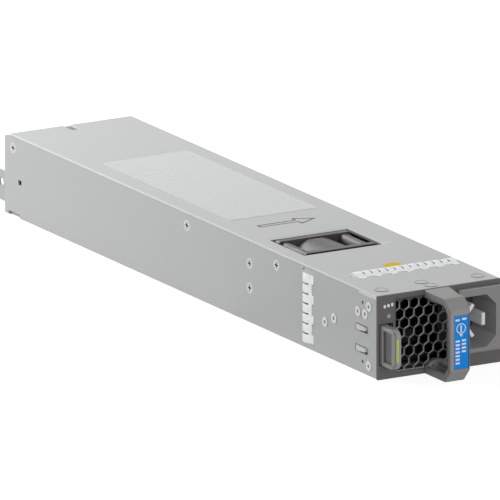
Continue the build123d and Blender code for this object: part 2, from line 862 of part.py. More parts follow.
# Handle screws: pan heads behind the bezel
with BuildPart() as handle_screws:
    with BuildSketch(facing(bezel_thickness)):
        with Locations(*handle_screw_spots):
            Circle(pan_head_radius)
    extrude(amount=-pan_head_height)
    with BuildSketch(facing(bezel_thickness)):
        with Locations(*handle_screw_spots):
            Circle(small_thread_radius)
    extrude(amount=bezel_thickness + handle_pad - small_gap)
handle_screws.part.label = "handle_screws"
export_step(handle_screws.part, "parts/handle_screws.step")

# Latch lever: the plastic finger tab, with a groove in its left face and a slot for the plate
with BuildPart() as latch_lever:
    lever_front = front_y - lever_reach
    lever_rear = behind(lever_tail)
    with BuildSketch(Plane.YZ.offset(across(lever_left))):
        with BuildLine():
            top_edge = Line((lever_rear, lever_top), (lever_front + lever_top_round, lever_top))
            top_turn = TangentArc(top_edge @ 1, (lever_front, lever_top - lever_top_round), tangent=(-1, 0))
            Polyline(
                top_turn @ 1,
                (lever_front, lever_bottom + lever_bottom_slope),
                (lever_front + lever_bottom_slope, lever_bottom),
                (lever_rear, lever_bottom),
                (lever_rear, lever_top),
            )
        make_face()
    extrude(amount=lever_width)
    left_edges = latch_lever.faces().sort_by(Axis.X)[0].edges()
    front_edges = left_edges.filter_by(lambda edge: edge.center().Y < front_y)
    fillet(front_edges.filter_by(lambda edge: edge.length < lever_reach), lever_front_round)
    groove_y = (front_y - lever_groove_start - lever_groove_length, front_y - lever_groove_start)
    groove_z = (lever_bottom + lever_groove_margin, lever_top - lever_groove_margin)
    groove_x = (across(lever_left), across(lever_left) + lever_groove_depth)
    block(groove_x, groove_y, groove_z, mode=Mode.SUBTRACT)
    plate_x = (across(plate_left) - touch_gap, across(plate_left + plate_thickness) + touch_gap)
    plate_z = (lever_bottom + plate_margin - touch_gap, lever_top - plate_margin + touch_gap)
    block(plate_x, (behind(plate_front) - touch_gap, lever_rear), plate_z, mode=Mode.SUBTRACT)
    with BuildSketch(facing(-lever_reach)):
        with Locations((across(lever_left + lever_width / 2), lever_middle - small_gap)):
            Rectangle(stripe_width, stripe_length)
    extrude(amount=-stripe_depth, mode=Mode.SUBTRACT)
latch_lever.part.label = "latch_lever"
export_step(latch_lever.part, "parts/latch_lever.step")

# Latch stripe: the coloured inlay that marks the lever as a touch point
with BuildPart() as latch_stripe:
    with BuildSketch(facing(-lever_reach)):
        with Locations((across(lever_left + lever_width / 2), lever_middle - small_gap)):
            Rectangle(stripe_width, stripe_length)
    extrude(amount=-stripe_depth)
latch_stripe.part.label = "latch_stripe"
export_step(latch_stripe.part, "parts/latch_stripe.step")

# Latch plate: spring steel with two ramped teeth that stand out of the left wall
with BuildPart() as latch_plate:
    plate_x = (across(plate_left), across(plate_left + plate_thickness))
    plate_z = (lever_bottom + plate_margin, lever_top - plate_margin)
    block(plate_x, (behind(plate_front), behind(plate_rear)), plate_z)
    for offset in tooth_offsets:
        tooth_bottom = lever_middle + offset - tooth_height / 2
        with BuildSketch(Plane.XY.offset(tooth_bottom)):
            with BuildLine():
                Polyline(
                    (across(plate_left), behind(tooth_front)),
                    (across(-tooth_reach), behind(tooth_front)),
                    (across(-tooth_reach), behind(tooth_front + tooth_reach)),
                    (across(tooth_flush), behind(tooth_front + tooth_length)),
                    (across(plate_left), behind(tooth_front + tooth_length)),
                    close=True,
                )
            make_face()
        extrude(amount=tooth_height)
        with BuildSketch(Plane.YZ.offset(across(-tooth_reach))):
            with BuildLine():
                Polyline(
                    (behind(tooth_front), tooth_bottom),
                    (behind(tooth_front), tooth_bottom + tooth_taper),
                    (behind(tooth_front + tooth_taper_length), tooth_bottom),
                    close=True,
                )
            make_face()
        extrude(amount=tooth_reach + plate_left, mode=Mode.SUBTRACT)
latch_plate.part.label = "latch_plate"
export_step(latch_plate.part, "parts/latch_plate.step")

# Latch leaf spring: riveted to the left wall, its free end bears the plate
with BuildPart() as latch_leaf_spring:
    leaf_x = (-inner_half, -inner_half + leaf_thickness)
    leaf_middle = lever_middle + leaf_rise
    leaf_z = (leaf_middle - leaf_height / 2, leaf_middle + leaf_height / 2)
    block(leaf_x, (behind(leaf_front), behind(leaf_rear)), leaf_z)
    with Locations(*side_places(-1, leaf_rivet_spots)):
        Cylinder(rivet_shank_radius + touch_gap, cut_through, mode=Mode.SUBTRACT)
latch_leaf_spring.part.label = "latch_leaf_spring"
export_step(latch_leaf_spring.part, "parts/latch_leaf_spring.step")


def side_rivet(places, grip):
    """Dimpled rivets whose heads lie on the given places, through a stack this thick."""
    outwards = (Align.CENTER, Align.CENTER, Align.MIN)
    inwards = (Align.CENTER, Align.CENTER, Align.MAX)
    with Locations(*places):
        Cylinder(rivet_head_radius, rivet_head_rise, align=outwards)
        Cylinder(rivet_dimple_radius, rivet_head_rise, align=outwards, mode=Mode.SUBTRACT)
        Cylinder(rivet_shank_radius, grip + rivet_tail, align=inwards)
    with Locations(*[place * Location((0, 0, -grip)) for place in places]):
        Cylinder(rivet_shank_radius + rivet_tail, rivet_tail, align=inwards)


# Side rivets: four hold the bezel's flanges and two the latch's leaf spring
with BuildPart() as side_rivets:
    side_rivet(side_places(-1, side_rivet_spots), sheet + bezel_flange)
    side_rivet(side_places(-1, leaf_rivet_spots), sheet + leaf_thickness)
side_rivets.part.label = "side_rivets"
export_step(side_rivets.part, "parts/side_rivets.step")

# Ring rivets on top: shallow ringed heads through the cover and the bezel's top flange
with BuildPart() as top_rivets:
    with Locations(*ring_places):
        Cylinder(ring_rivet_radius, ring_rivet_rise, align=(Align.CENTER, Align.CENTER, Align.MIN))
        Cylinder(
            rivet_shank_radius,
            sheet + bezel_flange + rivet_tail,
            align=(Align.CENTER, Align.CENTER, Align.MAX),
        )
    with Locations(*[place * Location((0, 0, ring_rivet_rise)) for place in ring_places]):
        Cylinder(
            ring_rivet_radius - ring_rivet_lip,
            ring_rivet_rise / 2,
            align=(Align.CENTER, Align.CENTER, Align.MAX),
            mode=Mode.SUBTRACT,
        )
top_rivets.part.label = "top_rivets"
export_step(top_rivets.part, "parts/top_rivets.step")


def flat_screw(places, length):
    """Countersunk cross-recess screws whose heads end flush with the given places."""
    inwards = (Align.CENTER, Align.CENTER, Align.MAX)
    with Locations(*places):
        Cylinder(thread_radius, length, align=inwards)
        Cone(flat_neck_radius, flat_head_radius, sheet, align=inwards)
        for long_side, short_side in ((cross_length, cross_width), (cross_width, cross_length)):
            Box(long_side, short_side, cross_depth, align=inwards, mode=Mode.SUBTRACT)


# Cover screws, three on each side
with BuildPart() as cover_screws:
    flat_screw(cover_places, sheet + screw_tab_thickness + small_gap)
cover_screws.part.label = "cover_screws"
export_step(cover_screws.part, "parts/cover_screws.step")

# Heatsink screws behind the fan
with BuildPart() as heatsink_screws:
    flat_screw(heatsink_places, sheet + heatsink_thickness - small_gap)
heatsink_screws.part.label = "heatsink_screws"
export_step(heatsink_screws.part, "parts/heatsink_screws.step")

# Spring finger strips that ground the case in its bay
with BuildPart() as contact_strip_left:
    finger_strip(left_strip, side_finger_count, side_finger_pitch)
contact_strip_left.part.label = "contact_strip_left"
export_step(contact_strip_left.part, "parts/contact_strip_left.step")

with BuildPart() as contact_strip_right:
    mirror(contact_strip_left.part, about=Plane.YZ)
contact_strip_right.part.label = "contact_strip_right"
export_step(contact_strip_right.part, "parts/contact_strip_right.step")

with BuildPart() as contact_strip_top:
    finger_strip(top_strip, top_finger_count, top_finger_pitch)
contact_strip_top.part.label = "contact_strip_top"
export_step(contact_strip_top.part, "parts/contact_strip_top.step")

# Status light pipe and the small board with its lamp behind the bezel
with BuildPart() as status_light_pipe:
    with BuildSketch(facing(0)):
        with Locations((across(light_left), light_height)):
            Circle(light_radius)
    extrude(amount=-light_length)
    with BuildSketch(facing(bezel_thickness)):
        with Locations((across(light_left), light_height)):
            Circle(light_collar_radius)
    extrude(amount=-light_collar)
status_light_pipe.part.label = "status_light_pipe"
export_step(status_light_pipe.part, "parts/status_light_pipe.step")

with BuildPart() as status_board:
    lamp_depth = light_length + small_gap
    with BuildSketch(facing(lamp_depth)):
        with Locations((across(light_left), light_height)):
            Rectangle(2 * light_radius, 2 * light_radius)
    extrude(amount=-light_collar)
    board_x = (across(light_left) - light_board_width / 2, across(light_left) + light_board_width / 2)
    board_y = (behind(lamp_depth + light_collar), behind(lamp_depth + light_collar + light_board))
    block(board_x, board_y, (light_height - light_board_drop, wall_height - bezel_flange))
status_board.part.label = "status_board"
export_step(status_board.part, "parts/status_board.step")

# Power inlet housing: a proud shroud with two cut corners
with BuildPart() as inlet_housing:
    with BuildSketch(facing(0)):
        with Locations(inlet_middle):
            Rectangle(inlet_width, inlet_height)
    extrude(amount=inlet_proud)
    chamfer(inlet_housing.edges().group_by(Axis.Y)[0], inlet_corner)
    with BuildSketch(facing(0)):
        with Locations(inlet_middle):
            Rectangle(inlet_width - 2 * inlet_shoulder, inlet_height - 2 * inlet_shoulder)
    extrude(amount=-inlet_depth)
    with BuildSketch(facing(-inlet_proud)):
        with BuildLine():
            Polyline(
                (socket_left, socket_bottom),
                (socket_right - socket_slope, socket_bottom),
                (socket_right, socket_bottom + socket_slope),
                (socket_right, socket_top - socket_slope),
                (socket_right - socket_slope, socket_top),
                (socket_left, socket_top),
                close=True,
            )
        make_face()
    extrude(amount=inlet_back - inlet_depth - inlet_proud, mode=Mode.SUBTRACT)
    blade_spots = [
        Location(
            (socket_middle[0] - power_blade_offset, socket_middle[1] + side * power_blade_rise, 0),
            (0, 0, -side * power_blade_turn),
        )
        for side in (-1, 1)
    ]
    earth_spot = (socket_middle[0] + earth_blade_offset, socket_middle[1])
    with BuildSketch(facing(inlet_depth)):
        with Locations(*blade_spots):
            Rectangle(blade_thickness + 2 * touch_gap, blade_width + 2 * touch_gap)
        with Locations(earth_spot):
            Rectangle(blade_thickness + 2 * touch_gap, blade_width + 2 * touch_gap)
    extrude(amount=inlet_back, mode=Mode.SUBTRACT)
inlet_housing.part.label = "inlet_housing"
export_step(inlet_housing.part, "parts/inlet_housing.step")

# Inlet blades run from just behind the shroud's face through its back to the inlet board
blade_length = inlet_depth + inlet_proud - blade_setback + blade_tail
with BuildPart() as inlet_power_blades:
    with BuildSketch(facing(blade_setback - inlet_proud)):
        with Locations(*blade_spots):
            Rectangle(blade_thickness, blade_width)
    extrude(amount=-blade_length)
    chamfer(inlet_power_blades.edges().group_by(Axis.Y)[0], blade_tip)
inlet_power_blades.part.label = "inlet_power_blades"
export_step(inlet_power_blades.part, "parts/inlet_power_blades.step")

with BuildPart() as inlet_earth_blade:
    with BuildSketch(facing(blade_setback - inlet_proud)):
        with Locations(earth_spot):
            Rectangle(blade_thickness, blade_width)
    extrude(amount=-blade_length)
    chamfer(inlet_earth_blade.edges().group_by(Axis.Y)[0], blade_tip)
inlet_earth_blade.part.label = "inlet_earth_blade"
export_step(inlet_earth_blade.part, "parts/inlet_earth_blade.step")

# Inlet board: takes the blade tails and passes the power down to the main board
with BuildPart() as inlet_board:
    inlet_board_low = board_top + small_gap
    with BuildSketch(facing(inlet_board_rear)):
        with Locations((inlet_middle[0], (inlet_board_low + inlet_top - inlet_shoulder) / 2)):
            Rectangle(inlet_width - 2 * inlet_shoulder, inlet_top - inlet_shoulder - inlet_board_low)
        with Locations(*blade_spots):
            Rectangle(blade_thickness + 2 * touch_gap, blade_width + 2 * touch_gap, mode=Mode.SUBTRACT)
        with Locations(earth_spot):
            Rectangle(blade_thickness + 2 * touch_gap, blade_width + 2 * touch_gap, mode=Mode.SUBTRACT)
    extrude(amount=inlet_board_thickness)
inlet_board.part.label = "inlet_board"
export_step(inlet_board.part, "parts/inlet_board.step")

with BuildPart() as inlet_link_bars:
    link_bar_height = socket_middle[1] - link_bar_drop - board_top
    with BuildSketch(facing(inlet_board_rear)):
        with Locations((inlet_middle[0], board_top + link_bar_height / 2)):
            with GridLocations(link_bar_pitch, link_bar_height, link_bar_count, 1):
                Rectangle(link_bar_width, link_bar_height)
    extrude(amount=-link_bar_thickness)
inlet_link_bars.part.label = "inlet_link_bars"
export_step(inlet_link_bars.part, "parts/inlet_link_bars.step")

# Fan frame: two square flanges joined by a barrel, with the motor's base on four struts at the rear
barrel_radius = fan_size / 2 - small_gap
barrel_bore = barrel_radius - barrel_wall
blade_tip_radius = barrel_bore - tip_gap
tube_radius = bearing_radius + touch_gap + bearing_tube_wall
fan_motor = Plane.XZ.offset(-behind(fan_rear)).shift_origin(Vector(fan_x, behind(fan_rear), mid_height))
tube_length = fan_length - motor_base - hub_front - 2 * hub_wall - bearing_width
with BuildPart() as fan_frame:
    with BuildSketch(fan_motor, fan_motor.offset(fan_length - fan_flange)):
        RectangleRounded(fan_size, fan_size, fan_corner)
        with GridLocations(fan_size - 2 * fan_hole_inset, fan_size - 2 * fan_hole_inset, 2, 2):
            Circle(fan_hole_radius, mode=Mode.SUBTRACT)
    extrude(amount=fan_flange)
    with BuildSketch(fan_motor):
        with GridLocations(fan_size - 2 * fan_hole_inset, fan_size - 2 * fan_hole_inset, 2, 2):
            Circle(fan_post_radius)
            Circle(fan_hole_radius, mode=Mode.SUBTRACT)
    extrude(amount=fan_length)
    with BuildSketch(fan_motor):
        Circle(barrel_radius)
    extrude(amount=fan_length)
    with BuildSketch(fan_motor):
        Circle(barrel_bore)
    extrude(amount=fan_length, mode=Mode.SUBTRACT)
    slot_width, slot_length = fan_wire_slot
    slot_rear = behind(fan_rear - fan_flange)
    slot_x = (fan_x - slot_width / 2, fan_x + slot_width / 2)
    slot_y = (slot_rear - slot_length, slot_rear)
    block(slot_x, slot_y, (mid_height + hub_radius, case_height), mode=Mode.SUBTRACT)
    with BuildSketch(fan_motor):
        Circle(hub_radius)
        with PolarLocations((barrel_bore + tube_radius) / 2, strut_count, start_angle=strut_turn):
            Rectangle(barrel_bore - tube_radius + barrel_wall, strut_width)
    extrude(amount=motor_base)
    with BuildSketch(fan_motor):
        Circle(tube_radius)
    extrude(amount=motor_base + tube_length)
    with BuildSketch(fan_motor.offset(motor_base)):
        Circle(bearing_radius + touch_gap)
    extrude(amount=tube_length, mode=Mode.SUBTRACT)
fan_frame.part.label = "fan_frame"
export_step(fan_frame.part, "parts/fan_frame.step")

# Fan impeller: a cup-shaped hub with twisted blades
with BuildPart() as fan_impeller:
    hub_start = fan_length - hub_front
    for index in range(blade_count):
        turn = radians(index * 360 / blade_count)
        root = Plane(
            (fan_x, behind(fan_front + hub_front + hub_length / 2), mid_height),
            x_dir=(0, 1, 0),
            z_dir=(cos(turn), 0, sin(turn)),
        )
        with BuildSketch(root.offset(hub_radius - hub_wall)) as root_section:
            Rectangle(fan_blade_chord, fan_blade_thickness, rotation=fan_blade_root_turn)
        with BuildSketch(root.offset(barrel_bore)) as tip_section:
            Rectangle(fan_blade_chord, fan_blade_thickness, rotation=fan_blade_tip_turn)
        loft(sections=[root_section.sketch, tip_section.sketch])
    with BuildSketch(fan_motor.offset(hub_start)):
        Circle(hub_radius)
    extrude(amount=-hub_length)
    with BuildSketch(fan_motor):
        Circle(blade_tip_radius)
    extrude(amount=fan_length, mode=Mode.INTERSECT)
    with BuildSketch(fan_motor.offset(hub_start - hub_wall)):
        Circle(hub_radius - hub_wall)
    extrude(amount=-fan_length, mode=Mode.SUBTRACT)
    with BuildSketch(fan_motor.offset(hub_start)):
        Circle(fan_shaft_radius)
    extrude(amount=-hub_length, mode=Mode.SUBTRACT)
    hub_front_circles = fan_impeller.edges().filter_by(GeomType.CIRCLE).group_by(Axis.Y)[0]
    fillet(hub_front_circles.sort_by(SortBy.LENGTH)[-1], hub_wall / 2)
fan_impeller.part.label = "fan_impeller"
export_step(fan_impeller.part, "parts/fan_impeller.step")

# Magnet ring inside the hub
with BuildPart() as fan_magnet_ring:
    with BuildSketch(fan_motor.offset(hub_start - hub_length)):
        Circle(hub_radius - hub_wall)
        Circle(hub_radius - hub_wall - magnet_thickness, mode=Mode.SUBTRACT)
    extrude(amount=hub_length - 3 * hub_wall)
fan_magnet_ring.part.label = "fan_magnet_ring"
export_step(fan_magnet_ring.part, "parts/fan_magnet_ring.step")

# Fan shaft, fixed in the hub and running in both bearings
with BuildPart() as fan_shaft:
    with BuildSketch(fan_motor.offset(motor_base + small_gap)):
        Circle(fan_shaft_radius)
    extrude(amount=hub_start - motor_base - small_gap)
fan_shaft.part.label = "fan_shaft"
export_step(fan_shaft.part, "parts/fan_shaft.step")

# Bearings at both ends of the bearing tube
with BuildPart() as fan_bearings:
    rear_bearing = motor_base
    front_bearing = motor_base + tube_length - bearing_width
    with BuildSketch(fan_motor.offset(rear_bearing), fan_motor.offset(front_bearing)):
        Circle(bearing_radius)
        Circle(fan_shaft_radius + shaft_running_gap, mode=Mode.SUBTRACT)
    extrude(amount=bearing_width)
fan_bearings.part.label = "fan_bearings"
export_step(fan_bearings.part, "parts/fan_bearings.step")

# Stator: a wound core on the bearing tube with four poles
with BuildPart() as fan_stator:
    stator_radius = hub_radius - hub_wall - magnet_thickness - stator_gap
    with BuildSketch(fan_motor.offset(motor_base + bearing_width)):
        Circle(stator_radius)
        Circle(tube_radius, mode=Mode.SUBTRACT)
        with PolarLocations(stator_radius, strut_count):
            Rectangle(stator_radius - tube_radius, stator_slot, mode=Mode.SUBTRACT)
    extrude(amount=stator_length)
fan_stator.part.label = "fan_stator"
export_step(fan_stator.part, "parts/fan_stator.step")

# Main board: clear of the inlet, around the fan and out through the rear panel as a card edge
tongue_x = (across(tongue_left), across(tongue_left + tongue_width))
tongue_end = shell_rear + tongue_reach
with BuildPart() as main_board:
    block((board_left, board_right), (behind(board_front), board_rear), (board_bottom, board_top))
    block(tongue_x, (board_rear, tongue_end), (board_bottom, board_top))
    chamfer(main_board.edges().filter_by(Axis.X).group_by(Axis.Y)[-1], tongue_bevel)
    fan_hole_x = (fan_x - fan_size / 2 - board_fan_gap, fan_x + fan_size / 2 + board_fan_gap)
    fan_hole_y = (behind(fan_front - board_fan_gap), behind(fan_rear + board_fan_gap))
    block(fan_hole_x, fan_hole_y, (sheet, board_top + sheet), mode=Mode.SUBTRACT)
    inlet_x = (inlet_left - inlet_board_clear, half_width)
    inlet_y = (front_y, behind(inlet_depth + inlet_board_clear))
    block(inlet_x, inlet_y, (sheet, board_top + sheet), mode=Mode.SUBTRACT)
    with Locations(*[(x, y, board_top) for x, y in standoff_spots]):
        Cylinder(thread_radius + touch_gap, cut_through, mode=Mode.SUBTRACT)
main_board.part.label = "main_board"
export_step(main_board.part, "parts/main_board.step")

# Gold contacts on both faces of the card edge: wide ones for power, narrow ones for signals
with BuildPart() as edge_contacts:
    power_row = power_contact_count * power_contact_pitch
    signal_row = signal_contact_count * signal_contact_pitch
    contact_y = tongue_end - tongue_bevel - contact_length / 2
    contact_left = across(tongue_left) + (tongue_width - power_row - signal_row) / 2
    with BuildSketch(Plane.XY.offset(board_top), Plane.XY.offset(board_bottom - contact_thickness)):
        with Locations((contact_left + power_row / 2, contact_y)):
            with GridLocations(power_contact_pitch, contact_length, power_contact_count, 1):
                Rectangle(power_contact_width, contact_length)
        with Locations((contact_left + power_row + signal_row / 2, contact_y)):
            with GridLocations(signal_contact_pitch, contact_length, signal_contact_count, 1):
                Rectangle(signal_contact_width, contact_length)
    extrude(amount=contact_thickness)
edge_contacts.part.label = "edge_contacts"
export_step(edge_contacts.part, "parts/edge_contacts.step")

# Stand-offs pressed into the tray, and the screws that hold the board on them
with BuildPart() as standoffs:
    with BuildSketch(Plane.XY.offset(sheet)):
        with Locations(*standoff_spots):
            Circle(standoff_radius)
            Circle(thread_radius + touch_gap, mode=Mode.SUBTRACT)
    extrude(amount=board_rise)
standoffs.part.label = "standoffs"
export_step(standoffs.part, "parts/standoffs.step")

with BuildPart() as board_screws:
    with BuildSketch(Plane.XY.offset(board_top)):
        with Locations(*standoff_spots):
            Circle(board_head_radius)
    extrude(amount=pan_head_height)
    with BuildSketch(Plane.XY.offset(board_top)):
        with Locations(*standoff_spots):
            Circle(thread_radius)
    extrude(amount=-board_thickness - board_rise)
    with BuildSketch(Plane.XY.offset(board_top + pan_head_height)):
        with Locations(*standoff_spots):
            Rectangle(cross_length, cross_width)
            Rectangle(cross_width, cross_length)
    extrude(amount=-cross_depth, mode=Mode.SUBTRACT)
board_screws.part.label = "board_screws"
export_step(board_screws.part, "parts/board_screws.step")

# Insulator sheet on the tray's floor under the board
with BuildPart() as insulator_sheet:
    sheet_y = (shell_front + bezel_flange_length + insulator_margin, board_rear - insulator_margin)
    block((board_left, board_right), sheet_y, (sheet, sheet + insulator_thickness))
    block(fan_hole_x, fan_hole_y, (0, 2 * sheet), mode=Mode.SUBTRACT)
    with Locations(*[(x, y, sheet) for x, y in standoff_spots]):
        Cylinder(standoff_radius + small_gap, sheet, mode=Mode.SUBTRACT)
insulator_sheet.part.label = "insulator_sheet"
export_step(insulator_sheet.part, "parts/insulator_sheet.step")

# Rear panel: a lip under the cover, vents, the slot for the card edge and a guide tab bent to the rear
with BuildPart() as rear_panel:
    panel_y = (shell_rear - sheet, shell_rear)
    lip_top = wall_height - touch_gap
    with BuildSketch(Plane.YZ.offset(-inner_half)):
        with BuildLine():
            Polyline(
                (shell_rear - sheet, sheet),
                (shell_rear, sheet),
                (shell_rear, lip_top - rear_slope_drop),
                (cover_rear, lip_top),
                (cover_rear, lip_top - sheet),
                (shell_rear - sheet, lip_top - rear_slope_drop - sheet),
                close=True,
            )
        make_face()
    extrude(amount=2 * inner_half)
    lip_half = inner_half - screw_tab_thickness - small_gap
    block((-lip_half, lip_half), (cover_rear - rear_lip_length, cover_rear), (lip_top - sheet, lip_top))
    slot_x = (tongue_x[0] - tongue_play, tongue_x[1] + tongue_play)
    block(slot_x, panel_y, (board_bottom - tongue_play, board_top + tongue_play), mode=Mode.SUBTRACT)
    vent_middle = board_top + vent_bottom_gap + vent_pitch * (vent_rows - 1) / 2
    with BuildSketch(Plane.XZ.offset(-shell_rear)):
        with Locations((0, vent_middle)):
            with GridLocations(vent_pitch, vent_pitch, vent_columns, vent_rows):
                Circle(vent_radius)
    extrude(amount=sheet, mode=Mode.SUBTRACT)
    tab_z = (rear_tab_bottom, rear_tab_bottom + rear_tab_height)
    block((-inner_half, -inner_half + sheet), (shell_rear, shell_rear + rear_reach), tab_z)
    fillet(rear_panel.edges().filter_by(Axis.X).group_by(Axis.Y)[-1], rear_tab_corner)
    tab_hole = (-inner_half, shell_rear + rear_tab_hole_back, rear_tab_hole_height)
    with Locations(Location(tab_hole, (0, 90, 0))):
        Cylinder(rear_tab_hole_radius, cut_through, mode=Mode.SUBTRACT)
rear_panel.part.label = "rear_panel"
export_step(rear_panel.part, "parts/rear_panel.step")


def upright(size, x, y, base):
    """A block of this size that stands on a level, centred on a place."""
    with Locations((x, y, base)):
        Box(*size, align=(Align.CENTER, Align.CENTER, Align.MIN))


# Common-mode choke: a ring core with two windings around it
choke_place = (from_right(choke_right), behind(fan_front - choke_before_fan))
with BuildPart() as choke_core:
    with BuildSketch(Plane.XY.offset(board_top + winding)):
        with Locations(choke_place):
            Circle(choke_radius - winding)
            Circle(choke_bore + winding, mode=Mode.SUBTRACT)
    extrude(amount=choke_height - 2 * winding)
choke_core.part.label = "choke_core"
export_step(choke_core.part, "parts/choke_core.step")

with BuildPart() as choke_windings:
    with BuildSketch(Plane.XY.offset(board_top)):
        with Locations(choke_place):
            Circle(choke_radius)
            Circle(choke_bore, mode=Mode.SUBTRACT)
            Rectangle(2 * choke_radius, winding_gap, mode=Mode.SUBTRACT)
    extrude(amount=choke_height)
    with BuildSketch(Plane.XY.offset(board_top + winding)):
        with Locations(choke_place):
            Circle(choke_radius - winding)
            Circle(choke_bore + winding, mode=Mode.SUBTRACT)
    extrude(amount=choke_height - 2 * winding, mode=Mode.SUBTRACT)
choke_windings.part.label = "choke_windings"
export_step(choke_windings.part, "parts/choke_windings.step")

# Film capacitors across the line
with BuildPart() as film_capacitors:
    for index in range(2):
        capacitor_y = behind(fan_front - film_capacitor_before_fan + index * film_capacitor_pitch)
        upright(film_capacitor_size, from_right(film_capacitor_right), capacitor_y, board_top)
    fillet(film_capacitors.edges().filter_by(Axis.Z), sheet)
film_capacitors.part.label = "film_capacitors"
export_step(film_capacitors.part, "parts/film_capacitors.step")

# Fuse in two clips
fuse_height = board_top + fuse_clip + fuse_radius
fuse_start = fan_front - fuse_before_fan + fuse_length / 2
with BuildPart() as fuse:
    with BuildSketch(facing(fuse_start)):
        with Locations((from_right(fuse_right), fuse_height)):
            Circle(fuse_radius - small_gap)
    extrude(amount=fuse_length)
    with BuildSketch(facing(fuse_start), facing(fuse_start - fuse_length + fuse_cap)):
        with Locations((from_right(fuse_right), fuse_height)):
            Circle(fuse_radius)
    extrude(amount=fuse_cap)
    for start in (fuse_start, fuse_start - fuse_length + fuse_cap):
        with BuildSketch(facing(start - small_gap)):
            with Locations((from_right(fuse_right), board_top + fuse_clip / 2 + fuse_radius / 2)):
                Rectangle(2 * fuse_radius + 2 * fuse_clip, fuse_clip + fuse_radius)
            with Locations((from_right(fuse_right), fuse_height)):
                Circle(fuse_radius, mode=Mode.SUBTRACT)
        extrude(amount=fuse_cap - 2 * small_gap)
fuse.part.label = "fuse"
export_step(fuse.part, "parts/fuse.step")

# Inrush relay
with BuildPart() as inrush_relay:
    upright(relay_size, from_right(relay_right), behind(fan_front - relay_before_fan), board_top)
    fillet(inrush_relay.edges().filter_by(Axis.Z), sheet)
inrush_relay.part.label = "inrush_relay"
export_step(inrush_relay.part, "parts/inrush_relay.step")

# Disc capacitors to the case, each on two leads
disc_depth = fan_front - disc_before_fan
with BuildPart() as disc_capacitors:
    for index in range(disc_count):
        disc_x = across(disc_left + index * disc_pitch)
        with BuildSketch(facing(disc_depth)):
            with Locations((disc_x, board_top + disc_rise + disc_radius)):
                Circle(disc_radius)
        extrude(amount=disc_thickness)
        with BuildSketch(Plane.XY.offset(board_top)):
            with Locations((disc_x, behind(disc_depth) - disc_thickness / 2)):
                with GridLocations(2 * disc_lead_spread, disc_thickness, 2, 1):
                    Circle(disc_lead_radius)
        extrude(amount=disc_rise + disc_radius)
disc_capacitors.part.label = "disc_capacitors"
export_step(disc_capacitors.part, "parts/disc_capacitors.step")

# Primary heatsink: an aluminium plate screwed to the left wall
heatsink_rear = heatsink_front + heatsink_length
heatsink_x = (-inner_half, -inner_half + heatsink_thickness)
heatsink_base = board_top + heatsink_clear
with BuildPart() as primary_heatsink:
    block(heatsink_x, (behind(heatsink_front), behind(heatsink_rear)), (heatsink_base, heatsink_top))
    for depth in screw_depths:
        tab_half = screw_tab_length / 2 + small_gap
        tab_y = (behind(depth) - tab_half, behind(depth) + tab_half)
        tab_bottom = screw_height - screw_tab_drop - small_gap
        tab_x = (-inner_half - sheet, -inner_half + screw_tab_thickness + small_gap)
        block(tab_x, tab_y, (tab_bottom, case_height), mode=Mode.SUBTRACT)
    with Locations(*heatsink_places):
        Cylinder(thread_radius + touch_gap, cut_through, mode=Mode.SUBTRACT)
primary_heatsink.part.label = "primary_heatsink"
export_step(primary_heatsink.part, "parts/primary_heatsink.step")

# Bridge rectifier and power transistors on the heatsink's inner face
parts_x = -inner_half + heatsink_thickness
bridge_front = heatsink_front + bridge_back
with BuildPart() as bridge_rectifier:
    bridge_x = (parts_x, parts_x + bridge_size[0])
    bridge_y = (behind(bridge_front), behind(bridge_front + bridge_size[1]))
    bridge_base = heatsink_base + bridge_rise
    block(bridge_x, bridge_y, (bridge_base, bridge_base + bridge_size[2]))
    chamfer(bridge_rectifier.edges().group_by(Axis.X)[-1], touch_gap + small_gap)
bridge_rectifier.part.label = "bridge_rectifier"
export_step(bridge_rectifier.part, "parts/bridge_rectifier.step")

with BuildPart() as power_transistors:
    for index in range(transistor_count):
        transistor_front = bridge_front + bridge_size[1] + transistor_gap
        transistor_front += index * (transistor_size[1] + transistor_gap)
        transistor_x = (parts_x, parts_x + transistor_size[0])
        transistor_y = (behind(transistor_front), behind(transistor_front + transistor_size[1]))
        transistor_base = heatsink_base + transistor_rise
        transistor_z = (transistor_base, transistor_base + transistor_size[2])
        block(transistor_x, transistor_y, transistor_z)
    chamfer(power_transistors.edges().group_by(Axis.X)[-1], small_gap)
power_transistors.part.label = "power_transistors"
export_step(power_transistors.part, "parts/power_transistors.step")

# Power choke: a ring core that stands upright in a wound coil
power_choke_depth = fan_rear + power_choke_behind_fan
power_choke_x = bulk_x - bulk_radius - power_choke_gap - power_choke_radius
ring_z = board_top + power_choke_radius + small_gap
with BuildPart() as power_choke:
    with BuildSketch(facing(power_choke_depth)):
        with Locations((power_choke_x, ring_z)):
            Circle(power_choke_radius)
            Circle(power_choke_bore, mode=Mode.SUBTRACT)
    extrude(amount=power_choke_width)
    fillet(power_choke.edges().filter_by(GeomType.CIRCLE), winding)
    upright(
        (power_choke_radius, power_choke_width, 2 * winding),
        power_choke_x,
        behind(power_choke_depth) - power_choke_width / 2,
        board_top,
    )
power_choke.part.label = "power_choke"
export_step(power_choke.part, "parts/power_choke.step")

# Resonant choke: a wound box core
with BuildPart() as resonant_choke:
    upright(resonant_choke_size, power_choke_x, behind(fan_rear + resonant_choke_behind_fan), board_top)
    fillet(resonant_choke.edges().filter_by(Axis.Z), winding)
resonant_choke.part.label = "resonant_choke"
export_step(resonant_choke.part, "parts/resonant_choke.step")

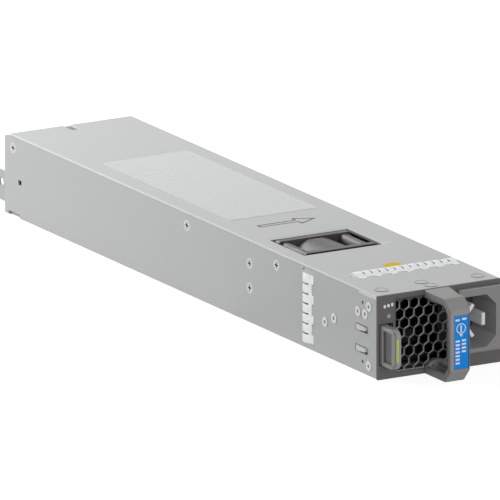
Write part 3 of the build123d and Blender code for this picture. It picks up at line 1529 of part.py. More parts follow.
# Bulk capacitors lying along the right wall, each with a rolled neck
bulk_z = board_top + bulk_radius
with BuildPart() as bulk_capacitors:
    for front in bulk_fronts:
        with BuildSketch(facing(front + bulk_length)):
            with Locations((bulk_x, bulk_z)):
                Circle(bulk_radius)
        extrude(amount=bulk_length)
    for front in bulk_fronts:
        with BuildSketch(facing(front + bulk_neck_start + 2 * bulk_neck)):
            with Locations((bulk_x, bulk_z)):
                Circle(bulk_radius)
                Circle(bulk_radius - bulk_neck, mode=Mode.SUBTRACT)
        extrude(amount=2 * bulk_neck, mode=Mode.SUBTRACT)
bulk_capacitors.part.label = "bulk_capacitors"
export_step(bulk_capacitors.part, "parts/bulk_capacitors.step")

# Main transformer: a wound bobbin in a two-part core
transformer_front = fan_rear + transformer_behind_fan
transformer_y = behind(transformer_front + transformer_size[1] / 2)
transformer_x = bulk_x - bulk_radius - transformer_gap - transformer_size[0] / 2
with BuildPart() as transformer_winding:
    wound_size = (
        transformer_size[0],
        transformer_size[1] - 2 * transformer_winding_inset,
        transformer_size[2] - 4 * transformer_winding_inset,
    )
    upright(wound_size, transformer_x, transformer_y, board_top + 2 * transformer_winding_inset)
    core_clear = (transformer_core_band + 2 * touch_gap, transformer_size[1], transformer_size[2])
    fillet(transformer_winding.edges().filter_by(Axis.Z), 2 * winding)
    with Locations((transformer_x, transformer_y, board_top)):
        Box(*core_clear, align=(Align.CENTER, Align.CENTER, Align.MIN), mode=Mode.SUBTRACT)
transformer_winding.part.label = "transformer_winding"
export_step(transformer_winding.part, "parts/transformer_winding.step")

with BuildPart() as transformer_core:
    core_size = (transformer_core_band, transformer_size[1], transformer_size[2])
    upright(core_size, transformer_x, transformer_y, board_top)
    chamfer(transformer_core.edges().filter_by(Axis.X), small_gap)
transformer_core.part.label = "transformer_core"
export_step(transformer_core.part, "parts/transformer_core.step")

# Secondary heatsink: fins on a base that reaches back to the rear group
fin_start = behind(transformer_front + transformer_size[1] + fin_gap)
with BuildPart() as secondary_heatsink:
    fin_y = (fin_start, rear_group_front)
    half_row = fin_pitch * (fin_count - 1) / 2
    base_x = (across(fin_left) - half_row - fin_thickness, across(fin_left) + half_row + fin_thickness)
    block(base_x, fin_y, (board_top, board_top + fin_base))
    for index in range(fin_count):
        fin_middle = across(fin_left) - half_row + index * fin_pitch
        fin_x = (fin_middle - fin_thickness / 2, fin_middle + fin_thickness / 2)
        block(fin_x, fin_y, (board_top + fin_base, board_top + fin_base + fin_height))
secondary_heatsink.part.label = "secondary_heatsink"
export_step(secondary_heatsink.part, "parts/secondary_heatsink.step")

# Output capacitors in a block before the rear panel
with BuildPart() as output_capacitors:
    capacitor_y = rear_group_front + output_capacitor_rows * output_capacitor_pitch / 2
    with BuildSketch(Plane.XY.offset(board_top)):
        with Locations((from_right(output_capacitor_right), capacitor_y)):
            pitch = output_capacitor_pitch
            with GridLocations(pitch, pitch, output_capacitor_columns, output_capacitor_rows):
                Circle(output_capacitor_radius)
    extrude(amount=output_capacitor_height)
    fillet(output_capacitors.edges().group_by(Axis.Z)[-1], small_gap)
output_capacitors.part.label = "output_capacitors"
export_step(output_capacitors.part, "parts/output_capacitors.step")

# Control board upright along the right wall, with its chips
with BuildPart() as control_board:
    control_x = from_right(control_board_right)
    control_rear = board_rear - standoff_rear
    control_y = (control_rear - control_board_length, control_rear)
    control_z = (board_top, board_top + control_board_height)
    block((control_x, control_x + control_board_thickness), control_y, control_z)
    chip_z = (board_top + control_board_height / 2, board_top + control_board_height / 2 + chip_size[2])
    for index in range(chip_count):
        chip_y = control_y[0] + chip_start + chip_pitch * index
        block((control_x - chip_size[0], control_x), (chip_y, chip_y + chip_size[1]), chip_z)
control_board.part.label = "control_board"
export_step(control_board.part, "parts/control_board.step")

# Bus bar from the secondary side to the card edge
with BuildPart() as bus_bar:
    bus_y = (board_rear - bus_bar_length, board_rear)
    bus_x = (across(bus_bar_left) - bus_bar_width / 2, across(bus_bar_left) + bus_bar_width / 2)
    block(bus_x, bus_y, (board_top, board_top + bus_bar_height))
bus_bar.part.label = "bus_bar"
export_step(bus_bar.part, "parts/bus_bar.step")

# Fan lead: straight runs and tangent arcs from the fan's frame to its plug on the board
plug_x = from_right(plug_right)
plug_y = behind(fan_front - plug_gap)
with BuildPart() as fan_plug:
    upright(plug_size, plug_x, plug_y, board_top)
fan_plug.part.label = "fan_plug"
export_step(fan_plug.part, "parts/fan_plug.step")

lead_z = board_top + plug_size[2] + lead_rise
lead_points = [
    Vector(fan_x + fan_size / 2, behind(fan_depth), lead_z),
    Vector(plug_x, behind(fan_depth), lead_z),
    Vector(plug_x, plug_y, lead_z),
    Vector(plug_x, plug_y, board_top + plug_size[2]),
]
lead_runs = [(end - start).length for start, end in zip(lead_points, lead_points[1:])]
lead_radii = [lead_bend_share * min(pair) for pair in zip(lead_runs, lead_runs[1:])]
print("fan lead bend radii", [round(radius, 2) for radius in lead_radii])
with BuildPart() as fan_lead:
    with BuildLine() as lead_path:
        FilletPolyline(*lead_points, radius=lead_radii)
    with BuildSketch(Plane(lead_points[0], z_dir=(1, 0, 0))):
        Circle(lead_radius)
    sweep()
fan_lead.part.label = "fan_lead"
export_step(fan_lead.part, "parts/fan_lead.step")

# Blank labels on the cover
with BuildPart() as top_label:
    with BuildSketch(Plane.XY.offset(case_height)):
        label_x = across(top_label_left + top_label_width / 2)
        with Locations((label_x, behind(top_label_depth + top_label_length / 2))):
            Rectangle(top_label_width, top_label_length)
    extrude(amount=label_thickness)
top_label.part.label = "top_label"
export_step(top_label.part, "parts/top_label.step")

with BuildPart() as top_sticker:
    with BuildSketch(Plane.XY.offset(case_height)):
        with Locations((across(sticker_left), behind(sticker_depth))):
            RectangleRounded(*sticker_size, sticker_corner)
    extrude(amount=label_thickness)
top_sticker.part.label = "top_sticker"
export_step(top_sticker.part, "parts/top_sticker.step")
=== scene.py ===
import json
from math import cos, pi, radians, sin

import bmesh
import bpy
from mathutils import Matrix, Vector


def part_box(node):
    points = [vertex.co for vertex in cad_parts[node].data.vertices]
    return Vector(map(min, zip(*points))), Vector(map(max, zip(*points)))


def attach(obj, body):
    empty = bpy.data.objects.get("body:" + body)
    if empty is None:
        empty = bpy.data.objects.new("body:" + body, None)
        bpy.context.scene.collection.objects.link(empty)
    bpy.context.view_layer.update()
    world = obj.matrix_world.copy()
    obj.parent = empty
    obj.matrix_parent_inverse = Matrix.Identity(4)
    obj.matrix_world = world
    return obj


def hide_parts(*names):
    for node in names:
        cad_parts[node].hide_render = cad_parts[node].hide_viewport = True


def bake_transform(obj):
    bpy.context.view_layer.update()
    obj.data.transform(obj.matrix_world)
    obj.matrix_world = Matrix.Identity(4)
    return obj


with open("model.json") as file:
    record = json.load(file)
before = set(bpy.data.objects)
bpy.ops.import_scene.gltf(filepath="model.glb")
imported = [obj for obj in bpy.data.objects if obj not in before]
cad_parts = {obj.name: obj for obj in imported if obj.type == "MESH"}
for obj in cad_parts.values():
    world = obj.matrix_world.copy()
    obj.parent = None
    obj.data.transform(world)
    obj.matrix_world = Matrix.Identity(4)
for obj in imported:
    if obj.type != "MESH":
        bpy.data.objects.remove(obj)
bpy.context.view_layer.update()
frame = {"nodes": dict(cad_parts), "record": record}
nodes = frame["nodes"]

# Lengths are in metres, and the ones that scene.py sets itself are written in millimetres times mm. What is
# far from the middle is past every side of the object.
mm = 0.001
far = 1
bezel_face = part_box("front_bezel")[0].y
case_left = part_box("chassis_tray")[0].x
cover_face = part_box("cover_top")[1].z
rotor_nodes = ("fan_impeller", "fan_magnet_ring", "fan_shaft")
latch_nodes = ("latch_lever", "latch_stripe", "latch_plate")

# Camera: a long lens at the photograph's angle. photo_scale is in pixels a metre, and corner_pixel is where
# the case's upper front left corner falls in the picture.
camera_turn = radians(30.01)
camera_rise = radians(14.91)
lens_length = 1660
film_width = 36
photo_width = 500
photo_scale = 2168.0
corner_pixel = (377.86, 296.89)
camera_reach = 100

# Light
sky_strength = 0.22
floor_glow = 0.86
floor_drop = 0.3 * mm
floor_size = 30.0
floor_shade = (0.45, 0.45, 0.45, 1)


def tone(red, green, blue):
    """A colour from its values of 0 to 255 on a screen."""
    shares = [value / 255 for value in (red, green, blue)]
    linear = [share / 12.92 if share < 0.04045 else ((share + 0.055) / 1.055) ** 2.4 for share in shares]
    return linear + [1.0]


# Materials


def start_material(name):
    """A node material with its tree and shader."""
    material = bpy.data.materials.new(name)
    material.use_nodes = True
    return material, material.node_tree, material.node_tree.nodes["Principled BSDF"]


def pattern_place(tree, stretch=(1, 1, 1), turn=(0, 0, 0)):
    """Object coordinates in metres, stretched and turned for a pattern."""
    place = tree.nodes.new("ShaderNodeTexCoord")
    mapping = tree.nodes.new("ShaderNodeMapping")
    mapping.inputs["Scale"].default_value = stretch
    mapping.inputs["Rotation"].default_value = turn
    tree.links.new(place.outputs["Object"], mapping.inputs["Vector"])
    return mapping.outputs["Vector"]


def noise(tree, place, scale, detail=3.0, distortion=0.0):
    """A noise value from 0 to 1, at so many grains a metre."""
    node = tree.nodes.new("ShaderNodeTexNoise")
    node.inputs["Scale"].default_value = scale
    node.inputs["Detail"].default_value = detail
    node.inputs["Distortion"].default_value = distortion
    tree.links.new(place, node.inputs["Vector"])
    return node.outputs["Fac"]


def ranged(tree, value, low, high, low_from=0.3, high_from=0.7):
    """A value that runs from low to high as the given one runs over its middle range."""
    node = tree.nodes.new("ShaderNodeMapRange")
    node.inputs["From Min"].default_value = low_from
    node.inputs["From Max"].default_value = high_from
    node.inputs["To Min"].default_value = low
    node.inputs["To Max"].default_value = high
    tree.links.new(value, node.inputs["Value"])
    return node.outputs["Result"]


def blended(tree, share, first, second):
    """A mix of two colours, each fixed or from another node."""
    node = tree.nodes.new("ShaderNodeMix")
    node.data_type = "RGBA"
    tree.links.new(share, node.inputs["Factor"])
    for socket, colour in ((node.inputs[6], first), (node.inputs[7], second)):
        if isinstance(colour, bpy.types.NodeSocket):
            tree.links.new(colour, socket)
        else:
            socket.default_value = colour
    return node.outputs[2]


def relief(tree, shader, height, strength, depth):
    """Bump from a height value; a second call lies on the first."""
    node = tree.nodes.new("ShaderNodeBump")
    node.inputs["Strength"].default_value = strength
    node.inputs["Distance"].default_value = depth
    tree.links.new(height, node.inputs["Height"])
    before = shader.inputs["Normal"].links
    if before:
        tree.links.new(before[0].from_socket, node.inputs["Normal"])
    tree.links.new(node.outputs["Normal"], shader.inputs["Normal"])


def shaded(colour, share):
    """A darker or lighter version of a colour."""
    return [min(1.0, value * share) for value in colour[:3]] + [1.0]


def calculated(tree, operation, first, second=None):
    """The result of a sum on one value, or on two of which the second may be fixed."""
    node = tree.nodes.new("ShaderNodeMath")
    node.operation = operation
    tree.links.new(first, node.inputs[0])
    if isinstance(second, bpy.types.NodeSocket):
        tree.links.new(second, node.inputs[1])
    elif second is not None:
        node.inputs[1].default_value = second
    return node.outputs[0]


def split_axes(tree, vector):
    """The values of a vector, by the names of the axes."""
    split = tree.nodes.new("ShaderNodeSeparateXYZ")
    tree.links.new(vector, split.inputs["Vector"])
    return split.outputs


def inside_share(tree, low, high):
    """One inside a box of the object's own coordinates, and nought outside it."""
    place = split_axes(tree, tree.nodes.new("ShaderNodeTexCoord").outputs["Object"])
    tests = []
    for axis, name in enumerate("XYZ"):
        tests.append(calculated(tree, "GREATER_THAN", place[name], low[axis]))
        tests.append(calculated(tree, "LESS_THAN", place[name], high[axis]))
    total = tests[0]
    for test in tests[1:]:
        total = calculated(tree, "MULTIPLY", total, test)
    return total


def row_gaps(tree, axis, start, pitch, gap):
    """One in the gaps of a row of fingers along an axis, and nought on the fingers."""
    place = split_axes(tree, tree.nodes.new("ShaderNodeTexCoord").outputs["Object"])
    along = calculated(tree, "DIVIDE", calculated(tree, "SUBTRACT", place[axis], start), pitch)
    return calculated(tree, "GREATER_THAN", calculated(tree, "FRACT", along), 1 - gap / pitch)


def face_direction(tree, axis):
    """How far a face looks along an axis, from -1 to 1."""
    return split_axes(tree, tree.nodes.new("ShaderNodeNewGeometry").outputs["True Normal"])[axis]


def side_share(tree, axis="X"):
    """One on faces that look either way along an axis, and nought on the others."""
    turned = calculated(tree, "ABSOLUTE", face_direction(tree, axis))
    return ranged(tree, turned, 0, 1, low_from=0.6, high_from=0.8)


def sheet_metal(
    name,
    colour,
    metallic=0.15,
    roughness=0.5,
    lines=(2400, 40, 2400),
    contrast=0.02,
    edge=None,
    inner=None,
    crown=None,
    bands=(),
):
    """Rolled sheet: faint lines along its rolling direction over a soft cloudiness.

    Faces at its sides have the colour of edge, a painted highlight, and those on top that of crown, leaving
    the others in the base colour as painted shade; the box of inner is painted in shade; each band is a box
    and its colour.
    """
    material, tree, shader = start_material(name)
    darker, lighter = shaded(colour, 1 - contrast), shaded(colour, 1 + contrast)
    rolled = noise(tree, pattern_place(tree, lines), 1.0, detail=4.0)
    cloud = noise(tree, pattern_place(tree), 38.0, detail=4.0, distortion=0.6)
    lined = blended(tree, ranged(tree, rolled, 0, 1), darker, lighter)
    look = blended(tree, ranged(tree, cloud, 0, 0.5), lined, darker)
    if edge:
        look = blended(tree, side_share(tree), look, edge)
    for low, high, band_colour in bands:
        look = blended(tree, inside_share(tree, low, high), look, band_colour)
    if crown:
        look = blended(tree, side_share(tree, "Z"), look, crown)
    if inner:
        look = blended(tree, inside_share(tree, *inner), look, interior_shade)
    tree.links.new(look, shader.inputs["Base Color"])
    tree.links.new(ranged(tree, rolled, roughness - 0.05, roughness + 0.07), shader.inputs["Roughness"])
    shader.inputs["Metallic"].default_value = metallic
    relief(tree, shader, rolled, strength=0.12, depth=0.02 * mm)
    relief(tree, shader, cloud, strength=0.08, depth=0.2 * mm)
    return material


def moulded_plastic(name, colour, roughness=0.5, grain=2600, contrast=0.08, depth=0.03, light_and_shade_zones=(), gloss=0.5):
    """Moulded plastic with a fine grain and a trace of uneven gloss; each zone is a box and its colour."""
    material, tree, shader = start_material(name)
    darker, lighter = shaded(colour, 1 - contrast), shaded(colour, 1 + contrast)
    fine = noise(tree, pattern_place(tree), grain, detail=2.0)
    broad = noise(tree, pattern_place(tree), 90.0, detail=3.0, distortion=0.4)
    grained = blended(tree, ranged(tree, fine, 0, 1), darker, lighter)
    look = blended(tree, ranged(tree, broad, 0, 0.6), grained, lighter)
    # Each zone paints light or shade: a box of the surface made lighter or darker
    for low, high, zone_colour in light_and_shade_zones:
        look = blended(tree, inside_share(tree, low, high), look, zone_colour)
    tree.links.new(look, shader.inputs["Base Color"])
    tree.links.new(ranged(tree, broad, roughness - 0.06, roughness + 0.06), shader.inputs["Roughness"])
    shader.inputs["Specular IOR Level"].default_value = gloss
    relief(tree, shader, fine, strength=0.25, depth=depth * mm)
    return material


def metal(
    name,
    colour,
    roughness=0.35,
    grain=900,
    stretch=(1, 1, 1),
    contrast=0.08,
    metallic=0.85,
    hollow_shade=None,
    reach=None,
    outward=None,
    gaps=None,
):
    """Bare metal with faint scuffs.

    It is painted in shade, in the colour of hollow_shade, nearer to the middle plane than its reach, on the
    faces in a box that look any way but outward, and in the gaps of a row of fingers.
    """
    material, tree, shader = start_material(name)
    darker, lighter = shaded(colour, 1 - contrast), shaded(colour, 1 + contrast)
    scuffs = noise(tree, pattern_place(tree, stretch), grain, detail=4.0, distortion=0.3)
    look = blended(tree, ranged(tree, scuffs, 0, 1), darker, lighter)
    if reach:
        look = blended(tree, inside_share(tree, (-reach, -far, -far), (reach, far, far)), look, hollow_shade)
    if outward:
        axis, sign, low, high = outward
        turned = ranged(tree, face_direction(tree, axis), 1, 0, low_from=sign * 0.05, high_from=sign * 0.25)
        share = calculated(tree, "MULTIPLY", turned, inside_share(tree, low, high))
        look = blended(tree, share, look, hollow_shade)
    if gaps:
        axis, start, pitch, gap, low, high = gaps
        rows = row_gaps(tree, axis, start, pitch, gap)
        share = calculated(tree, "MULTIPLY", rows, inside_share(tree, low, high))
        look = blended(tree, share, look, hollow_shade)
    tree.links.new(look, shader.inputs["Base Color"])
    tree.links.new(ranged(tree, scuffs, roughness - 0.08, roughness + 0.1), shader.inputs["Roughness"])
    shader.inputs["Metallic"].default_value = metallic
    relief(tree, shader, scuffs, strength=0.1, depth=0.02 * mm)
    return material


def banded(name, colour, groove, pitch, turn=(0, 0, 0), metallic=0.0, roughness=0.4):
    """Wire or tape wound side by side: round bands with dark grooves between."""
    material, tree, shader = start_material(name)
    wave = tree.nodes.new("ShaderNodeTexWave")
    wave.inputs["Scale"].default_value = pi / (10 * pitch)
    wave.inputs["Distortion"].default_value = 0.4
    tree.links.new(pattern_place(tree, turn=turn), wave.inputs["Vector"])
    tree.links.new(blended(tree, wave.outputs["Fac"], groove, colour), shader.inputs["Base Color"])
    tree.links.new(ranged(tree, wave.outputs["Fac"], roughness + 0.2, roughness), shader.inputs["Roughness"])
    shader.inputs["Metallic"].default_value = metallic
    relief(tree, shader, wave.outputs["Fac"], strength=0.5, depth=0.2 * mm)
    return material


def punched_grille(name, face_colour, wall_colour):
    """Dark coated front with bare bright walls in its cells, told apart by the way that a face looks."""
    material, tree, shader = start_material(name)
    front = ranged(tree, face_direction(tree, "Y"), 1, 0, low_from=-0.8, high_from=-0.6)
    grain = noise(tree, pattern_place(tree), 1500.0)
    walls = blended(tree, ranged(tree, grain, 0, 1), shaded(wall_colour, 0.95), wall_colour)
    tree.links.new(blended(tree, front, walls, face_colour), shader.inputs["Base Color"])
    tree.links.new(ranged(tree, grain, 0.35, 0.55), shader.inputs["Roughness"])
    shader.inputs["Metallic"].default_value = 0.0
    relief(tree, shader, grain, strength=0.1, depth=0.02 * mm)
    return material


def circuit_board(name, colour, trace_colour):
    """Lacquered board with faint copper tracks under the lacquer."""
    material, tree, shader = start_material(name)
    tracks = tree.nodes.new("ShaderNodeTexBrick")
    tracks.inputs["Scale"].default_value = 160.0
    tracks.inputs["Mortar Size"].default_value = 0.035
    tracks.inputs["Color1"].default_value = (0, 0, 0, 1)
    tracks.inputs["Color2"].default_value = (0, 0, 0, 1)
    tracks.inputs["Mortar"].default_value = (1, 1, 1, 1)
    tree.links.new(pattern_place(tree), tracks.inputs["Vector"])
    weave = noise(tree, pattern_place(tree), 1800.0, detail=2.0)
    base = blended(tree, ranged(tree, weave, 0, 1), shaded(colour, 0.8), colour)
    tree.links.new(blended(tree, tracks.outputs["Color"], base, trace_colour), shader.inputs["Base Color"])
    tree.links.new(ranged(tree, weave, 0.25, 0.4), shader.inputs["Roughness"])
    relief(tree, shader, tracks.outputs["Color"], strength=0.2, depth=0.05 * mm)
    return material


# Colours, and places painted in light or shade, each a box's two corners
case_grey = tone(206, 207, 207)
# A painted highlight on the cover's faces that look sideways
case_edge_highlight = tone(244, 245, 245)
# Painted shade: the inside of the case, and the inlet's flank within it, are painted near black
interior_shade = tone(16, 16, 17)
panel_low, panel_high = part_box("rear_panel")
skin = 0.5 * mm
notch_half = 5 * mm
# The room inside the case, where its sheet is painted in shade
shaded_room = (
    (case_left + skin, bezel_face, skin),
    (-case_left - skin, panel_low.y - mm, cover_face - skin),
)
# The floor of the rear panel's key notch, painted darker as shade in the notch
key_notch_shade = ((-notch_half, panel_low.y, panel_high.z - skin), (0, far, far))

socket_low, socket_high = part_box("inlet_housing")
socket_wall, socket_lip = 1.2 * mm, 0.4 * mm
blade_root = 8 * mm
flank_start, flank_depth = 3 * mm, 0.3 * mm
socket_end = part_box("inlet_earth_blade")[1].y - blade_root
# Painted light and shade in the socket: its walls are painted lighter, its back wall darker, and the
# housing's flank inside the case near black
socket_room = (
    (socket_low.x + socket_wall, socket_low.y + socket_lip, socket_low.z + socket_wall),
    (socket_high.x, socket_end, socket_high.z),
)
socket_back = ((socket_low.x, socket_end, 0), (socket_high.x, far, far))
socket_flank = ((-far, bezel_face + flank_start, -far), (socket_low.x + flank_depth, far, far))
socket_light_and_shade = (
    (*socket_room, tone(176, 175, 174)),
    (*socket_back, tone(60, 60, 60)),
    (*socket_flank, interior_shade),
)

lever_low, lever_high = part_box("latch_lever")
groove_start, groove_end, groove_length = 0.5 * mm, 1.3 * mm, 11.5 * mm
# The lever's groove, painted darker as shade in it
lever_groove_shade = (
    (lever_low.x + groove_start, -far, 0),
    (lever_low.x + groove_end, lever_low.y + groove_length, lever_high.z - mm),
)

finishes = {
    # The case sheet, painted in shade inside the case
    "case_sheet": sheet_metal("case_sheet", case_grey, inner=shaded_room),
    "bezel_plastic": moulded_plastic("bezel_plastic", tone(92, 90, 89), roughness=0.55),
    "grille_metal": punched_grille("grille_metal", tone(58, 57, 56), tone(255, 255, 255)),
    "handle_plastic": moulded_plastic("handle_plastic", tone(154, 154, 153), roughness=0.5),
    "label_blue": moulded_plastic(
        "label_blue", tone(14, 146, 244), roughness=0.6, grain=700, contrast=0.03, depth=0.01, gloss=0.3
    ),
    # The lever, with painted shade in its groove
    "lever_plastic": moulded_plastic(
        "lever_plastic", tone(160, 159, 158), roughness=0.42, light_and_shade_zones=((*lever_groove_shade, tone(112, 111, 111)),)
    ),
    "stripe_green": moulded_plastic(
        "stripe_green", tone(192, 210, 100), roughness=0.4, grain=1400, contrast=0.04
    ),
    "spring_steel": metal(
        "spring_steel", tone(206, 207, 208), roughness=0.38, grain=1200, stretch=(1, 0.1, 1), metallic=0.4
    ),
    "fastener_steel": metal("fastener_steel", tone(216, 217, 217), roughness=0.4, grain=1500, metallic=0.8),
    "light_lens": moulded_plastic("light_lens", tone(168, 170, 170), roughness=0.3, grain=900, contrast=0.03),
    # The inlet housing, with painted light and painted shade in and beside its socket
    "inlet_plastic": moulded_plastic(
        "inlet_plastic", tone(142, 141, 141), roughness=0.52, light_and_shade_zones=socket_light_and_shade
    ),
    "blade_metal": metal(
        "blade_metal", tone(254, 255, 255), grain=1600, stretch=(1, 0.08, 1), contrast=0.03, metallic=0.0
    ),
    # Parts inside the case are painted darker than their own colours as painted shade: the board, copper,
    # ferrite, film, fuse, relay, disc, capacitor sleeves and heatsink
    "circuit_board": circuit_board("circuit_board", tone(7, 20, 15), tone(15, 32, 24)),
    "contact_gold": metal("contact_gold", tone(232, 190, 110), roughness=0.22, grain=1800),
    "fan_plastic": moulded_plastic("fan_plastic", tone(66, 61, 60), roughness=0.38, grain=1800),
    "magnet": metal("magnet", tone(70, 70, 74), roughness=0.5),
    "copper": banded("copper", tone(48, 26, 15), tone(18, 9, 5), pitch=0.8 * mm, metallic=0.5),
    "insulator": moulded_plastic("insulator", tone(24, 24, 24), roughness=0.5),
    "ferrite": moulded_plastic("ferrite", tone(36, 36, 38), roughness=0.55, grain=2200, contrast=0.15),
    "film_yellow": moulded_plastic("film_yellow", tone(58, 47, 18), roughness=0.4, grain=900),
    "fuse_ceramic": moulded_plastic(
        "fuse_ceramic", tone(60, 59, 57), roughness=0.25, grain=900, contrast=0.03
    ),
    "relay_case": moulded_plastic("relay_case", tone(24, 30, 52), roughness=0.3, grain=900),
    "disc_blue": moulded_plastic("disc_blue", tone(22, 52, 88), roughness=0.3, grain=900),
    "component_black": moulded_plastic("component_black", tone(26, 26, 26), roughness=0.5),
    "capacitor_sleeve": moulded_plastic("capacitor_sleeve", tone(24, 24, 30), roughness=0.25, grain=500),
    "heatsink_metal": sheet_metal("heatsink_metal", tone(150, 151, 153), metallic=0.8, roughness=0.4),
    "winding_tape": banded(
        "winding_tape", tone(226, 192, 70), tone(150, 118, 40), pitch=4 * mm, turn=(0, radians(90), 0)
    ),
    "lead_black": moulded_plastic("lead_black", tone(24, 24, 24), roughness=0.45, grain=1200),
    "label_silver": moulded_plastic(
        "label_silver", tone(226, 228, 228), roughness=0.3, grain=500, contrast=0.02, depth=0.01
    ),
    "sticker_yellow": moulded_plastic(
        "sticker_yellow", tone(255, 212, 20), roughness=0.5, grain=700, contrast=0.03, depth=0.01, gloss=0.1
    ),
}

# Nodes with a finish of their own. What lies deeper than a head's reach from the middle plane is painted in
# shade: the dark cross of a screw and the dimple of a rivet.
head_reach = -case_left - 0.15 * mm
rivet_reach = -case_left + 0.2 * mm
screw_steel = metal(
    "screw_steel",
    tone(222, 223, 223),
    roughness=0.45,
    grain=1500,
    metallic=0.35,
    hollow_shade=tone(28, 28, 28),
    reach=head_reach,
)
rivet_steel = metal(
    "rivet_steel",
    tone(234, 235, 235),
    roughness=0.45,
    grain=1500,
    metallic=0.35,
    hollow_shade=tone(160, 160, 160),
    reach=rivet_reach,
)
finishes_of = {
    "cover_screws": screw_steel,
    "heatsink_screws": screw_steel,
    "side_rivets": rivet_steel,
    # Top rivets: their flanks are painted dark grey as painted shade, and their tops case grey
    "top_rivets": sheet_metal("rivet_sheet_flank_shade", tone(120, 120, 120), crown=case_grey),
    # The rear panel, with painted shade on its key notch's floor
    "rear_panel": sheet_metal("panel_metal", tone(200, 201, 201), bands=((*key_notch_shade, tone(150, 151, 151)),)),
}
side_finger_pitch, top_finger_pitch = 4.77 * mm, 4.15 * mm
finger_length = 8.5 * mm
finger_slit = 0.6 * mm
slit_start, slit_cut = 1.5 * mm, 3.5 * mm
strip_end = 1.2 * mm
for strip, axis, sign, row_axis, pitch in (
    ("left", "X", -1, "Z", side_finger_pitch),
    ("right", "X", 1, "Z", side_finger_pitch),
    ("top", "Z", 1, "X", top_finger_pitch),
):
    low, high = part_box("contact_strip_" + strip)
    row = "XYZ".index(row_axis)
    ends = Vector((0, 0, 0))
    ends[row] = strip_end
    slit_low, slit_high = low + ends, high - ends
    slit_low.y, slit_high.y = high.y - finger_length + slit_start, high.y - finger_length + slit_cut
    # The foil's inward faces, and the gaps between its fingers over part of their length, are painted near
    # black: painted shade under the domes and in the slits
    finishes_of["contact_strip_" + strip] = metal(
        "foil_" + strip,
        tone(240, 241, 242),
        roughness=0.4,
        grain=700,
        metallic=0.5,
        hollow_shade=tone(14, 14, 14),
        outward=(axis, sign, low + ends, high - ends),
        gaps=(row_axis, low[row], pitch, finger_slit, slit_low, slit_high),
    )
print_grey = moulded_plastic(
    "print_grey", tone(84, 86, 86), roughness=0.6, grain=2600, contrast=0.06, depth=0.01
)
print_white = moulded_plastic(
    "print_white", tone(254, 255, 255), roughness=0.45, grain=2000, contrast=0.03, depth=0.01
)
print_brown = moulded_plastic(
    "print_brown", tone(128, 104, 90), roughness=0.5, grain=2000, contrast=0.05, depth=0.01
)


slot_of = {part["node"]: part["material_slot"] for part in frame["record"]["subparts"]}


def body_of(node):
    """The body that a CAD node belongs to."""
    if node in rotor_nodes:
        return "rotor"
    return "latch" if node in latch_nodes else "case"


def dress(piece, node_or_slot, material=None):
    """Gives a piece one material: the one given, or the finish of its node or of its slot."""
    slot = slot_of.get(node_or_slot, node_or_slot)
    piece.data.materials.clear()
    piece.data.materials.append(material or finishes_of.get(node_or_slot) or finishes[slot])


for name, node in nodes.items():
    node.data.materials.clear()
    node.data.materials.append(finishes_of.get(name) or finishes[slot_of[name]])

# The cover, with two light bands beside the fan window
window_low, window_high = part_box("fan_frame")
window_rim, band_width = 0.9 * mm, 1.5 * mm
rear_left, rear_right, front_right = 2 * mm, 1 * mm, 6 * mm
band_start, band_end = window_high.y + window_rim, window_low.y - window_rim
band_tone = tone(222, 223, 223)
rear_band = (
    (window_low.x - rear_left, band_start, cover_face - mm),
    (window_high.x + rear_right, band_start + band_width, far),
)
front_band = (
    (window_low.x, band_end - band_width, cover_face - mm),
    (window_high.x + front_right, band_end, far),
)
# The cover has a painted highlight on its sideways faces and painted shade inside the case
cover_metal = sheet_metal(
    "cover_metal",
    case_grey,
    edge=case_edge_highlight,
    inner=shaded_room,
    bands=((*rear_band, band_tone), (*front_band, band_tone)),
)


# Shapes


def finish_mesh(shape, name, smooth_angle=32):
    """Makes an object of a bmesh, smooth but for its creases."""
    bmesh.ops.recalc_face_normals(shape, faces=shape.faces)
    mesh = bpy.data.meshes.new(name)
    shape.to_mesh(mesh)
    shape.free()
    mesh.polygons.foreach_set("use_smooth", [True] * len(mesh.polygons))
    mesh.set_sharp_from_angle(angle=radians(smooth_angle))
    piece = bpy.data.objects.new(name, mesh)
    bpy.context.scene.collection.objects.link(piece)
    return piece


def merged_copy(node):
    """A bmesh of a CAD node with its loose triangles joined into plain faces."""
    shape = bmesh.new()
    shape.from_mesh(nodes[node].data)
    bmesh.ops.remove_doubles(shape, verts=shape.verts, dist=0.002 * mm)
    bmesh.ops.dissolve_limit(shape, angle_limit=radians(0.5), verts=shape.verts, edges=shape.edges)
    return shape


def within(point, low, high):
    """Whether a point lies in a box."""
    return all(low[axis] <= point[axis] <= high[axis] for axis in range(3))


def rounded_node(node, width, segments=2, crease=32, material=None, keep=None):
    """A copy of a CAD node, with its sharp edges rounded but for those at a kept node, that replaces it."""
    shape = merged_copy(node)
    sharp = []
    for edge in shape.edges:
        if len(edge.link_faces) == 2 and edge.calc_face_angle() > radians(crease):
            sharp.append(edge)
    if keep:
        low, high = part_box(keep)
        near = Vector((0.3 * mm, 0.3 * mm, 0.3 * mm))
        low, high = low - near, high + near
        sharp = [edge for edge in sharp if not all(within(vert.co, low, high) for vert in edge.verts)]
    bmesh.ops.bevel(
        shape,
        geom=sharp,
        offset=width,
        offset_type="OFFSET",
        segments=segments,
        profile=0.5,
        affect="EDGES",
        clamp_overlap=False,
        material=-1,
    )
    piece = finish_mesh(shape, node + "_rounded", smooth_angle=50)
    even = piece.modifiers.new("even_normals", "WEIGHTED_NORMAL")
    even.keep_sharp = True
    dress(piece, node, material)
    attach(piece, body_of(node))
    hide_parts(node)
    return piece


